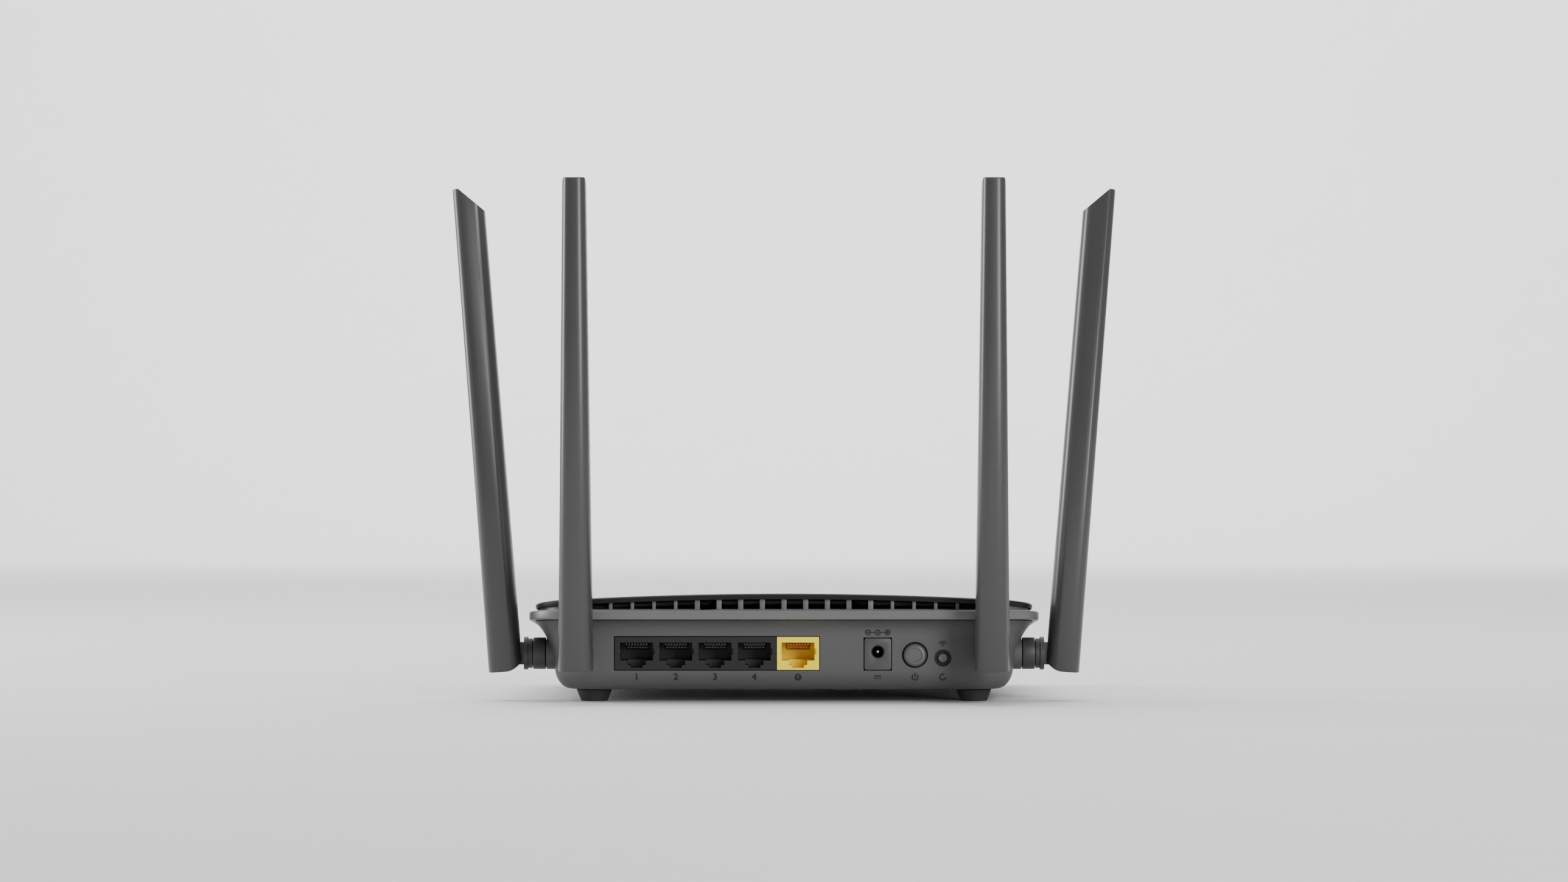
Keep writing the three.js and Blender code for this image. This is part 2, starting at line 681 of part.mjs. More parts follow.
// The open ring that holds the neck inside the casing.
function ringSolid() {
  const outer = -hinge.reach - hinge.bossDepth - gap;
  const inner = outer - hinge.ringThickness;
  return cut(
    bar('x', inner, outer, hinge.ringOuter, [0, 0]),
    bar('x', inner - 1, outer + 1, hinge.ringInner, [0, 0]),
    block([inner - 1, -hinge.ringOpening / 2, 0], [outer + 1, hinge.ringOpening / 2, hinge.ringOuter]),
  );
}

// One section of the blade, from 0 at its tail to 1 at its tip.
function bladeSection(share, inset, heightOf) {
  const blend = (from, to) => from + (to - from) * share - inset;
  const half = blend(aerial.width / 2, aerial.topWidth / 2);
  const inner = blend(aerial.inner, aerial.topInner);
  const outer = blend(aerial.outer, aerial.topOuter);
  const swell = (value) => Math.abs(value) ** (2 / aerial.fullness);
  const side = Array.from({ length: aerial.sides }, (_, index) => {
    const angle = Math.PI * (1 - (index + 0.5) / aerial.sides);
    const x = Math.cos(angle) < 0 ? -inner : outer;
    return [x * swell(Math.cos(angle)), half * swell(Math.sin(angle))];
  });
  const near = side.map(([x, y]) => [x, -y]);
  return [...near, ...side.reverse()].map(([x, y]) => [x, y, heightOf(x)]);
}

function bladeSolid() {
  const { tail, length, cutRise, pocket, tipBevel } = aerial;
  const fold = aerial.topOuter - aerial.tipFlat;
  const cutHeight = (x) => length - (Math.max(0, fold - x) / (fold + aerial.topInner)) * cutRise;
  const skin = loft([
    bladeSection(0, 0, () => -tail),
    bladeSection(1, 0, (x) => cutHeight(x) - tipBevel),
    bladeSection(1, tipBevel, cutHeight),
  ]);
  const reach = aerial.width;
  const heel = block([-reach, -reach, -reach], [0, reach, 0])
    .subtract(bar('y', -reach - 1, reach + 1, tail * 2, [0, 0], 24));
  const slot = hinge.tongue / 2 + gap;
  return cut(
    skin,
    heel,
    block([-reach, -slot, -reach], [pocket, slot, pocket]),
    block(
      [-aerial.cavityDepth / 2, -aerial.cavityWidth / 2, pocket - 0.5],
      [aerial.cavityDepth / 2, aerial.cavityWidth / 2, aerial.cavityTop],
    ),
    bar('y', -hinge.pinLength / 2 - gap, hinge.pinLength / 2 + gap, hinge.pin + 2 * gap, [0, 0], 12),
  );
}

function pinSolid() {
  return bar('y', -hinge.pinLength / 2, hinge.pinLength / 2, hinge.pin, [0, 0], 12);
}

function stripSolid() {
  return block(
    [-aerial.stripThickness / 2, -aerial.stripWidth / 2, aerial.stripStart],
    [aerial.stripThickness / 2, aerial.stripWidth / 2, aerial.stripStart + aerial.stripLength],
  );
}

// The thin leads from the hinge necks to the circuit board, on the right-hand
// side, as steps from the middle of each mount's face.
const leadRoutes = {
  side: {
    face: [hinge.sideFace, hinge.sideY, hinge.sideZ],
    steps: [
      [-9.7, 0, 0], [-14.6, 0.2, 0], [-17.4, 4, -0.9],
      [-18.7, 15, -3.1], [-24.2, 29, -4.2], [-27.7, 36, -4.2],
    ],
  },
  rear: {
    face: [hinge.rearX, hinge.rearFace, hinge.rearZ],
    steps: [
      [0, 9.7, 0], [-0.1, 13.6, 0], [-3.4, 16.2, -0.4],
      [-9.4, 21.2, -2.2], [-10.8, 32.2, -4.6], [-21.4, 50.2, -5.9],
    ],
  },
};

function leadSolid({ face, steps }, side) {
  const curve = new THREE.CatmullRomCurve3(steps.map(([x, y, z]) => new THREE.Vector3(
    side * (face[0] + x), face[1] + y, face[2] + z + casing.lift,
  )));
  const section = new THREE.Shape();
  section.absarc(0, 0, hinge.lead / 2, 0, Math.PI * 2);
  return solidOf(new THREE.ExtrudeGeometry(section, {
    steps: 12, curveSegments: 4, bevelEnabled: false, extrudePath: curve,
  }));
}

// ----------------------------------------------------------------- assembly

const finish = (color, roughness, metalness = 0) => (
  new THREE.MeshStandardMaterial({ color, roughness, metalness })
);
const finishes = {
  casing: finish('#3b3d40', 0.62),
  rim: finish('#4a4c4f', 0.45),
  panel: finish('#26282a', 0.35),
  aerial: finish('#2f3133', 0.5),
  hinge: finish('#26282a', 0.55),
  rubber: finish('#1b1c1d', 0.9),
  steel: finish('#b6b8ba', 0.3, 1),
  contact: finish('#c9a85a', 0.3, 1),
  jack: finish('#232426', 0.55),
  yellow: finish('#e8d868', 0.45),
  board: finish('#1f5a38', 0.6),
  chip: finish('#17181a', 0.5),
  aluminium: finish('#9da0a3', 0.4, 1),
  clear: finish('#d8dde0', 0.15),
  label: finish('#d9dadb', 0.7),
  lead: finish('#1a1a1b', 0.6),
  button: finish('#3a3c3f', 0.4),
};

const router = new THREE.Group();

function add(parent, name, solid, material) {
  const mesh = new THREE.Mesh(geometryOf(solid), material);
  mesh.name = name;
  parent.add(mesh);
  return mesh;
}

add(router, 'lower_casing', lowerCasing(), finishes.casing);
add(router, 'upper_casing', upperCasing(), finishes.rim);
add(router, 'top_panel', topPanel(), finishes.panel);
add(router, 'circuit_board', circuitBoard(), finishes.board);
add(router, 'rating_label', labelSolid(), finishes.label);
add(router, 'light_guide', lightGuide(), finishes.clear);

const lanCentres = Array.from({ length: lan.count }, (_, index) => lanCentre(index));
add(router, 'lan_jack_block', jackBlock(lan.centre, lan.width, lanCentres), finishes.jack);
add(router, 'wan_jack', jackBlock(wan.centre, wan.width, [wan.centre]), finishes.yellow);
lanCentres.forEach((x, index) => add(router, `lan_contacts_${index + 1}`, contactComb(x), finishes.contact));
add(router, 'wan_contacts', contactComb(wan.centre), finishes.contact);
add(router, 'power_inlet', inletHousing(), finishes.jack);
add(router, 'power_inlet_pin', inletPin(), finishes.steel);
add(router, 'power_button', pushButton(powerButton, -powerButton.proud), finishes.button);
add(router, 'power_switch', switchBody(powerButton, 4), finishes.chip);
add(router, 'pairing_button', pushButton(pairingButton, pairingButton.inset), finishes.button);
add(router, 'pairing_switch', switchBody(pairingButton, 3), finishes.chip);
packages.forEach((item) => add(
  router, item.name, packageSolid(item), item.name === 'radio_shield' ? finishes.aluminium : finishes.chip,
));
add(router, 'heat_sink', heatSink(), finishes.aluminium);

['left_rear', 'right_rear', 'left_front', 'right_front'].forEach((corner, index) => {
  add(router, `foot_${corner}`, footSolid(footPlaces[index]), finishes.rubber);
  add(router, `screw_${corner}`, screwSolid(screwPlaces[index]), finishes.steel);
});

for (const mount of mounts) {
  const arm = new THREE.Group();
  const outward = new THREE.Vector3(Math.cos(mount.heading), Math.sin(mount.heading), 0);
  arm.position.set(mount.x, mount.y, mount.z + casing.lift).addScaledVector(outward, hinge.reach);
  arm.rotation.z = mount.heading;
  const leaning = new THREE.Group();
  leaning.rotation.y = THREE.MathUtils.degToRad(aerial.lean);
  arm.add(leaning);
  router.add(arm);
  add(arm, `${mount.name}_sleeve`, sleeveSolid(), finishes.hinge);
  add(arm, `${mount.name}_knuckle`, knuckleSolid(), finishes.hinge);
  add(arm, `${mount.name}_retaining_ring`, ringSolid(), finishes.steel);
  add(arm, `${mount.name}_hinge_pin`, pinSolid(), finishes.steel);
  add(leaning, `${mount.name}_aerial`, bladeSolid(), finishes.aerial);
  add(leaning, `${mount.name}_radiator`, stripSolid(), finishes.contact);
  const [side, end] = mount.name.split('_');
  add(router, `${mount.name}_lead`, leadSolid(leadRoutes[end], side === 'left' ? -1 : 1), finishes.lead);
}

// The frame's origin is under the middle of the whole object, on the table.
const extent = new THREE.Box3().setFromObject(router, true);
const middle = extent.getCenter(new THREE.Vector3());
router.position.set(-middle.x, -middle.y, -extent.min.z);

export default router;
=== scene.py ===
# A table-top wireless router, seen from the rear: casing, sockets, buttons and four blade aerials.
import json
import math

import bmesh
import bpy
from mathutils import Matrix, Vector


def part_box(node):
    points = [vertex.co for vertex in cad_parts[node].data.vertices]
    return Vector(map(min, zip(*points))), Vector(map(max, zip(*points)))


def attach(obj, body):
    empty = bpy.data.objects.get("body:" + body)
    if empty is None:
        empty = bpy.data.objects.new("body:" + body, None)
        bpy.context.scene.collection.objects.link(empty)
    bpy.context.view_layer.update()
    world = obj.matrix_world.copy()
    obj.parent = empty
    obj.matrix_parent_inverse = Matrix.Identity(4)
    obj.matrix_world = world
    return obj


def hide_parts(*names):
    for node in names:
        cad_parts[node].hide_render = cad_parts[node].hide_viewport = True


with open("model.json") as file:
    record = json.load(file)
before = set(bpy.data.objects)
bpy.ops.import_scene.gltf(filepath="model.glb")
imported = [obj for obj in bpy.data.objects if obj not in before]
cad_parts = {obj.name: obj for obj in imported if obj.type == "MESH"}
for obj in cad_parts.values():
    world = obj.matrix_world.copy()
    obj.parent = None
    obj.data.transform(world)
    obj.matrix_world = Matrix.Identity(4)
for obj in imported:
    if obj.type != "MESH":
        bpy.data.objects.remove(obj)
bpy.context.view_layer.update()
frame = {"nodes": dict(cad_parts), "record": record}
nodes = frame["nodes"]
joints = {joint["name"]: joint for joint in frame["record"]["behaviour"]["joints"]}
mm = 0.001
socketProud = 0.3  # how far the sockets stand out of the rear wall
print("frame loaded:", len(nodes), "nodes")


# the frame's own landmarks, in millimetres


def boxOf(node):
    low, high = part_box(node)
    return Vector(low) / mm, Vector(high) / mm


rearWall = boxOf("lan_jack_block")[0].y + socketProud
underside = boxOf("lower_casing")[0].z


# ---- camera and light

viewpoint = {
    "distance": 1850.0,  # from the rear wall
    "height": 93.1,
    "lens": 119.4,
    "sensor": 36.0,
}


def makeCamera():
    bpy.ops.object.camera_add(
        location=(0, (rearWall - viewpoint["distance"]) * mm, viewpoint["height"] * mm),
        rotation=(math.radians(90), 0, 0),
    )
    camera = bpy.context.object
    camera.data.lens = viewpoint["lens"]
    camera.data.sensor_width = viewpoint["sensor"]
    camera.data.clip_end = 20
    bpy.context.scene.camera = camera


studio = {
    "world": 0.46,
    "lamps": [
        # name, place, size across and along, power, and the point it faces, in metres
        ("topPanel", (0.0, 0.5, 1.3), (2.2, 1.6), 26.0, (0, 0.2, 0.0)),
        ("leftPanel", (-1.5, 0.35, 0.3), (0.6, 1.4), 34.0, (0, 0, 0.08)),
        ("rightPanel", (1.0, -1.7, 0.45), (0.55, 1.4), 34.0, (0, 0, 0.08)),
        ("farPanel", (0.0, 2.3, 1.0), (2.4, 0.6), 30.0, (0, 2.6, 0.6)),
    ],
}


def makeLamps():
    for name, place, size, power, target in studio["lamps"]:
        bpy.ops.object.light_add(type="AREA", location=place)
        lamp = bpy.context.object
        lamp.name = name
        lamp.data.shape = "RECTANGLE"
        lamp.data.size, lamp.data.size_y = size
        lamp.data.energy = power
        towards = Vector(target) - Vector(place)
        lamp.rotation_euler = towards.to_track_quat("-Z", "Y").to_euler()
    world = bpy.data.worlds.new("studioAir")
    bpy.context.scene.world = world
    world.use_nodes = True
    air = world.node_tree.nodes["Background"]
    air.inputs["Color"].default_value = (0.95, 0.95, 0.95, 1)
    air.inputs["Strength"].default_value = studio["world"]


makeCamera()
makeLamps()
print("camera and lamps in place")


# ---- shader sums


class Wire:
    # a socket in a node tree that can stand in a sum
    def __init__(self, tree, socket=None):
        self.tree = tree
        self.socket = socket

    def make(self, kind, settings=None, inputs=None, output=0):
        node = self.tree.nodes.new(kind)
        for name, value in (settings or {}).items():
            if name == "stops":
                ramp = node.color_ramp.elements
                while len(ramp) < len(value):
                    ramp.new(0.5)
                for stop, (place, colour) in zip(ramp, value):
                    stop.position = place
                    stop.color = colour
            else:
                setattr(node, name, value)
        for name, value in (inputs or {}).items():
            if isinstance(value, Wire):
                self.tree.links.new(value.socket, node.inputs[name])
            else:
                node.inputs[name].default_value = value
        return Wire(self.tree, node.outputs[output])

    def sum(self, operation, first, second):
        return self.make("ShaderNodeMath", {"operation": operation}, {0: first, 1: second})

    def __add__(self, other):
        return self.sum("ADD", self, other)

    __radd__ = __add__

    def __sub__(self, other):
        return self.sum("SUBTRACT", self, other)

    def __rsub__(self, other):
        return self.sum("SUBTRACT", other, self)

    def __mul__(self, other):
        return self.sum("MULTIPLY", self, other)

    __rmul__ = __mul__


def grey(value, tint=(1, 1, 1)):
    return tuple(value * part for part in tint) + (1,)


class Finish:
    # one material with its shader, its object coordinates and the parts most finishes share
    def __init__(self, name, **constants):
        self.material = bpy.data.materials.new(name)
        self.material.use_nodes = True
        self.tree = self.material.node_tree
        self.shader = self.tree.nodes["Principled BSDF"]
        for socket, value in constants.items():
            self.shader.inputs[socket.replace("_", " ")].default_value = value
        self.wire = Wire(self.tree)
        self.place = self.wire.make("ShaderNodeTexCoord", output="Object")

    def noise(self, size, detail=2.0, roughness=0.5, stretch=(1, 1, 1)):
        # size is the pattern's own grain in millimetres
        place = self.wire.make("ShaderNodeMapping", {}, {"Vector": self.place, "Scale": stretch})
        return self.wire.make(
            "ShaderNodeTexNoise",
            {},
            {"Vector": place, "Scale": 1 / (size * mm), "Detail": detail, "Roughness": roughness},
        )

    def blend(self, factor, first, second):
        return self.wire.make(
            "ShaderNodeMix",
            {"data_type": "RGBA"},
            {0: factor, 6: first, 7: second},
            output=2,
        )

    def ramp(self, factor, stops):
        return self.wire.make("ShaderNodeValToRGB", {"stops": stops}, {"Fac": factor})

    def set(self, socket, wire):
        self.tree.links.new(wire.socket, self.shader.inputs[socket])

    def bump(self, height, strength, depth):
        # depth is the relief's real height in millimetres
        relief = self.wire.make(
            "ShaderNodeBump", {}, {"Height": height, "Strength": strength, "Distance": depth * mm}
        )
        self.set("Normal", relief)


def mouldedPlastic(name, low, high, rough, grain, relief, coat=0.0, tint=(1, 1, 1), index=1.48):
    # grain and relief are the moulding's texture, across and deep, in millimetres
    finish = Finish(name, Coat_Weight=coat, Coat_Roughness=0.2, IOR=index)
    sparks = finish.noise(grain, 2.0, 0.6)
    clouds = finish.noise(26.0, 3.0, 0.55)
    shade = clouds * 0.7 + sparks * 0.3
    finish.set("Base Color", finish.blend(shade, grey(low, tint), grey(high, tint)))
    finish.set("Roughness", rough + (clouds - 0.5) * 0.10 + (sparks - 0.5) * 0.08)
    finish.bump(sparks, 0.55, relief)
    return finish.material


casingFinish = mouldedPlastic("casingFinish", 0.058, 0.074, 0.52, 0.42, 0.03)
# painted light: the rim gets a paler grey than the lower casing, standing for the light its
# top-facing strip catches
rimPaintedLightFinish = mouldedPlastic("rimPaintedLightFinish", 0.104, 0.124, 0.42, 0.35, 0.010, 0.1)
panelFinish = mouldedPlastic("panelFinish", 0.005, 0.008, 0.46, 0.30, 0.008, index=1.3)
aerialFinish = mouldedPlastic("aerialFinish", 0.034, 0.044, 0.34, 0.30, 0.006, 0.1)
hingeFinish = mouldedPlastic("hingeFinish", 0.028, 0.038, 0.46, 0.40, 0.015)
buttonFinish = mouldedPlastic("buttonFinish", 0.070, 0.090, 0.36, 0.30, 0.008, 0.1)
jackFinish = mouldedPlastic("jackFinish", 0.007, 0.012, 0.45, 0.40, 0.02, index=1.4)
inletFinish = mouldedPlastic("inletFinish", 0.044, 0.058, 0.46, 0.40, 0.02)
chipFinish = mouldedPlastic("chipFinish", 0.012, 0.022, 0.55, 0.30, 0.02)
leadFinish = mouldedPlastic("leadFinish", 0.012, 0.018, 0.45, 1.2, 0.02)
yellowFinish = mouldedPlastic(
    "yellowFinish", 0.95, 1.0, 0.42, 0.45, 0.012, 0.05, tint=(1.0, 0.80, 0.008)
)
amberFinish = mouldedPlastic("amberFinish", 0.95, 1.0, 0.45, 0.45, 0.012, tint=(1.0, 0.70, 0.02))


def rubber():
    finish = Finish("rubberFinish", IOR=1.5)
    dust = finish.noise(3.5, 4.0, 0.6)
    pores = finish.noise(0.5, 2.0)
    finish.set("Base Color", finish.blend(dust, grey(0.014), grey(0.030)))
    finish.set("Roughness", 0.78 + (dust - 0.5) * 0.16)
    finish.bump(pores, 0.6, 0.04)
    return finish.material


def platedMetal(name, low, high, rough, stretch):
    finish = Finish(name, Metallic=1.0)
    brushing = finish.noise(0.6, 3.0, 0.6, stretch)
    clouds = finish.noise(4.0, 2.0)
    finish.set("Base Color", finish.blend(clouds, low, high))
    finish.set("Roughness", rough + (brushing - 0.5) * 0.16)
    finish.bump(brushing, 0.3, 0.006)
    return finish.material


rubberFinish = rubber()
steelFinish = platedMetal("steelFinish", grey(0.50), grey(0.62), 0.28, (1, 0.2, 1))
brassFinish = platedMetal(
    "brassFinish", (0.60, 0.42, 0.16, 1), (0.76, 0.56, 0.24, 1), 0.24, (1, 0.15, 1)
)
aluminiumFinish = platedMetal("aluminiumFinish", grey(0.52), grey(0.60), 0.36, (1, 0.1, 1))
# painted shade: the LAN contacts' metal is made nearly black, standing for the shade inside the
# socket cavities
paintedShadeContactFinish = platedMetal("paintedShadeContactFinish", grey(0.06), grey(0.10), 0.40, (1, 0.15, 1))
copperFinish = platedMetal(
    "copperFinish", (0.42, 0.12, 0.03, 1), (0.55, 0.18, 0.04, 1), 0.38, (1, 0.15, 1)
)


def solderMask():
    finish = Finish("boardFinish", IOR=1.5, Coat_Weight=0.4, Coat_Roughness=0.15)
    weave = finish.wire.make(
        "ShaderNodeTexWave",
        {"wave_type": "BANDS", "bands_direction": "DIAGONAL"},
        {"Vector": finish.place, "Scale": 300.0, "Distortion": 6.0, "Detail": 2.0},
    )
    mask, track = (0.008, 0.075, 0.030, 1), (0.020, 0.140, 0.060, 1)
    finish.set("Base Color", finish.ramp(weave, [(0.62, mask), (0.70, track)]))
    finish.set("Roughness", 0.30 + finish.noise(6.0) * 0.2)
    finish.bump(weave, 0.3, 0.02)
    return finish.material


def labelFilm():
    finish = Finish("labelFinish", IOR=1.46)
    fibres = finish.noise(1.6, 3.0, 0.6)
    finish.set("Base Color", finish.blend(fibres, grey(0.58), grey(0.66)))
    finish.set("Roughness", 0.42 + fibres * 0.2)
    finish.bump(fibres, 0.2, 0.01)
    return finish.material


def clearGuide():
    finish = Finish("guideFinish", IOR=1.49, Transmission_Weight=0.5)
    haze = finish.noise(2.0, 2.0)
    finish.set("Base Color", finish.blend(haze, grey(0.55), grey(0.70)))
    finish.set("Roughness", 0.22 + haze * 0.15)
    return finish.material


def ink():
    finish = Finish("inkFinish", IOR=1.45)
    specks = finish.noise(0.35, 2.0)
    dark, pale = (0.004, 0.004, 0.010, 1), (0.007, 0.007, 0.015, 1)
    finish.set("Base Color", finish.blend(specks, dark, pale))
    finish.set("Roughness", 0.5 + specks * 0.15)
    return finish.material


def floorPaper():
    finish = Finish("floorFinish", IOR=1.3)
    fibres = finish.noise(30.0, 4.0)
    finish.set("Base Color", finish.blend(fibres, grey(0.80), grey(0.83)))
    finish.set("Roughness", 0.75 + fibres * 0.1)
    return finish.material


boardFinish = solderMask()
labelFinish = labelFilm()
guideFinish = clearGuide()
inkFinish = ink()
print("finishes made:", len(bpy.data.materials))


# ---- modelling moves


def only(*pieces):
    if bpy.context.object and bpy.context.object.mode != "OBJECT":
        bpy.ops.object.mode_set(mode="OBJECT")
    bpy.ops.object.select_all(action="DESELECT")
    for piece in pieces:
        piece.select_set(True)
    bpy.context.view_layer.objects.active = pieces[0]


def called(name):
    piece = bpy.context.object
    piece.name = name
    piece.data.name = name
    return piece


def settle(piece):
    # leaves the object at the origin, unturned and unscaled
    only(piece)
    bpy.ops.object.transform_apply(location=True, rotation=True, scale=True)
    return piece


def cube(name, low, high):
    low, high = Vector(low) * mm, Vector(high) * mm
    bpy.ops.object.select_all(action="DESELECT")
    bpy.ops.mesh.primitive_cube_add(size=1, location=(low + high) / 2)
    piece = called(name)
    piece.scale = high - low
    return settle(piece)


turnAxes = {"x": (0, math.radians(90), 0), "y": (math.radians(-90), 0, 0), "z": (0, 0, 0)}


def rod(name, axis, start, end, diameter, centre, endDiameter=None, sides=64):
    # a round bar or cone along an axis, between two places on it
    bpy.ops.object.select_all(action="DESELECT")
    place = list(centre)
    place.insert("xyz".index(axis), (start + end) / 2)
    bpy.ops.mesh.primitive_cone_add(
        vertices=sides,
        radius1=diameter / 2 * mm,
        radius2=(endDiameter or diameter) / 2 * mm,
        depth=(end - start) * mm,
        location=Vector(place) * mm,
        rotation=turnAxes[axis],
    )
    return settle(called(name))


def modify(piece, kind, **settings):
    only(piece)
    modifier = piece.modifiers.new(kind.lower(), kind)
    for name, value in settings.items():
        setattr(modifier, name, value)
    bpy.ops.object.modifier_apply(modifier=modifier.name)
    return piece


def fuse(piece, other, operation="UNION"):
    modify(piece, "BOOLEAN", operation=operation, solver="EXACT", object=other)
    bpy.data.objects.remove(other, do_unlink=True)
    return piece


def carve(piece, *tools):
    for tool in tools:
        fuse(piece, tool, "DIFFERENCE")
    return piece


def carveAll(piece, tools):
    # for tools that stand clear of each other
    return carve(piece, joined("tools", *tools))


def joined(name, *pieces):
    only(*pieces)
    bpy.ops.object.join()
    return called(name)


def soften(piece, width, segments=2, angle=35):
    modify(
        piece,
        "BEVEL",
        width=width * mm,
        segments=segments,
        limit_method="ANGLE",
        angle_limit=math.radians(angle),
        harden_normals=False,
        use_clamp_overlap=True,
    )
    return piece


def shade(piece, angle=35):
    only(piece)
    bpy.ops.object.shade_smooth_by_angle(angle=math.radians(angle))
    return piece


def choose(piece, test, kind="VERT"):
    # selects, in edit mode, what lies where test says, by its middle in millimetres
    only(piece)
    bpy.ops.object.mode_set(mode="EDIT")
    bpy.ops.mesh.select_mode(type=kind)
    bpy.ops.mesh.select_all(action="DESELECT")
    mesh = bmesh.from_edit_mesh(piece.data)
    if kind == "VERT":
        for vertex in mesh.verts:
            vertex.select = test(vertex.co / mm)
    elif kind == "EDGE":
        for edge in mesh.edges:
            edge.select = test((edge.verts[0].co + edge.verts[1].co) / 2 / mm, edge)
    else:
        for face in mesh.faces:
            face.select = test(face.calc_center_median() / mm, face.normal)
    mesh.select_flush_mode()
    bmesh.update_edit_mesh(piece.data)


def rounded(piece, test, kind, width, segments):
    choose(piece, test, kind)
    bpy.ops.mesh.bevel(offset=width * mm, segments=segments, affect="EDGES")
    bpy.ops.object.mode_set(mode="OBJECT")


def dished(piece, test, rim, slant, depth):
    # sinks the middle of a flat face, inside a flat rim and a slanting edge
    choose(piece, test, "FACE")
    bpy.ops.mesh.inset(thickness=rim * mm)
    bpy.ops.mesh.inset(thickness=slant * mm, depth=-depth * mm)
    bpy.ops.object.mode_set(mode="OBJECT")


def lined(piece, finish, test):
    # gives the chosen faces a second finish
    piece.data.materials.append(finish)
    choose(piece, test, "FACE")
    piece.active_material_index = 1
    bpy.ops.object.material_slot_assign()
    bpy.ops.object.mode_set(mode="OBJECT")


def planCentre(low, high):
    return (low.x + high.x) / 2, (low.y + high.y) / 2


def done(piece, finish, node, body):
    # dresses a finished piece and lets it stand for its node
    modify(piece, "WELD", merge_threshold=0.001 * mm)
    bpy.ops.object.mode_set(mode="EDIT")
    bpy.ops.mesh.select_all(action="SELECT")
    bpy.ops.mesh.delete_loose()
    bpy.ops.object.mode_set(mode="OBJECT")
    piece.data.materials.clear()
    piece.data.materials.append(finish)
    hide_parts(*([node] if isinstance(node, str) else node))
    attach(piece, body)
    return piece


def dress(node, finish):
    for holder in nodes[node].material_slots:
        holder.material = finish


# ---- the casing

casingForm = {
    "halfWidth": 82.2,  # over the upright lower walls
    "depth": 138.0,
    "corner": 15.0,
    "edgeInset": 5.7,
    "edgeHeight": 8.0,
    "flareStart": 6.5,
    "flareRadius": 27.0,
    "endFlareStart": 19.0,
    "endFlareRadius": 6.5,
    "seam": 25.0,
    "frontScale": 0.6,
    "flatBand": 3.0,
    "wall": 2.0,
    "gap": 0.3,
    "cornerSteps": 12,
    "crownRadius": 1400.0,
    "crownHalf": 60.0,  # the crown is divided evenly up to here, on both sides
    "crownSteps": 20,
}
form = casingForm
crownPitch = 2 * form["crownHalf"] / form["crownSteps"]
crownPlaces = [crownPitch * step - form["crownHalf"] for step in range(form["crownSteps"] + 1)]


def slope(height, y):
    # heights above the flat band shrink evenly towards the front
    if height <= form["flatBand"]:
        return height
    scale = 1 - (1 - form["frontScale"]) * max(0.0, y) / form["depth"]
    return form["flatBand"] + (height - form["flatBand"]) * scale


def arcOffset(rise, radius):
    rise = min(max(rise, 0.0), radius)
    return radius - math.sqrt(radius**2 - rise**2)


def wallOffsets(height):
    rise = min(1.0, height / form["edgeHeight"])
    tuck = form["edgeInset"] * (1 - math.sqrt(1 - (1 - rise) ** 2))
    side = arcOffset(height - form["flareStart"], form["flareRadius"]) - tuck
    end = arcOffset(height - form["endFlareStart"], form["endFlareRadius"]) - tuck
    return side, end


def ring(height, side, end, crowned=False):
    half = form["halfWidth"] + side
    corner = form["corner"] + (side + end) / 2
    edge = []
    for step in range(form["cornerSteps"] + 1):
        angle = step / form["cornerSteps"] * math.pi / 2
        edge.append((corner * (1 - math.cos(angle)) - half, corner * (1 - math.sin(angle))))
    left = list(edge)
    if crowned:
        edge += [(place, 0) for place in crownPlaces]
    edge += [(-x, inset) for x, inset in reversed(left)]
    rear = [Vector((x, inset - end, height)) for x, inset in edge]
    front = [Vector((x, form["depth"] + end - inset, height)) for x, inset in reversed(edge)]
    return rear + front


def raised(name, rings):
    # a filled outline extruded from ring to ring
    bpy.ops.object.select_all(action="DESELECT")
    bpy.ops.mesh.primitive_circle_add(vertices=len(rings[0]), fill_type="NGON")
    piece = called(name)
    bpy.ops.object.mode_set(mode="EDIT")
    bpy.ops.mesh.select_all(action="SELECT")
    mesh = bmesh.from_edit_mesh(piece.data)
    order = mesh.verts.layers.int.new("order")
    mesh.verts.ensure_lookup_table()
    for index, vertex in enumerate(mesh.verts):
        vertex[order] = index
        vertex.co = rings[0][index] * mm
    bmesh.update_edit_mesh(piece.data)
    for points in rings[1:]:
        bpy.ops.mesh.extrude_region_move()
        mesh = bmesh.from_edit_mesh(piece.data)
        order = mesh.verts.layers.int["order"]
        for vertex in mesh.verts:
            if vertex.select:
                vertex.co = points[vertex[order]] * mm
        bmesh.update_edit_mesh(piece.data)
    bpy.ops.mesh.select_all(action="SELECT")
    bpy.ops.mesh.normals_make_consistent(inside=False)
    bpy.ops.object.mode_set(mode="OBJECT")
    piece.data.attributes.remove(piece.data.attributes["order"])
    return piece


def sliced(piece, places, normal=(1, 0, 0)):
    # cuts a piece across without parting it, so that its faces can follow a curve
    only(piece)
    bpy.ops.object.mode_set(mode="EDIT")
    for place in places:
        bpy.ops.mesh.select_all(action="SELECT")
        bpy.ops.mesh.bisect(plane_co=Vector(normal) * place * mm, plane_no=normal)
    bpy.ops.object.mode_set(mode="OBJECT")
    return piece


def wedged(piece, crownFrom=None):
    # bends a level-built piece to the crown and the wedge, and moves it into the frame
    for vertex in piece.data.vertices:
        x, y, z = vertex.co / mm
        if crownFrom is not None and z >= crownFrom:
            z -= x * x / (2 * form["crownRadius"])
        vertex.co = Vector((x, y + rearWall, underside + slope(z, y))) * mm
    return modify(piece, "TRIANGULATE", min_vertices=5)


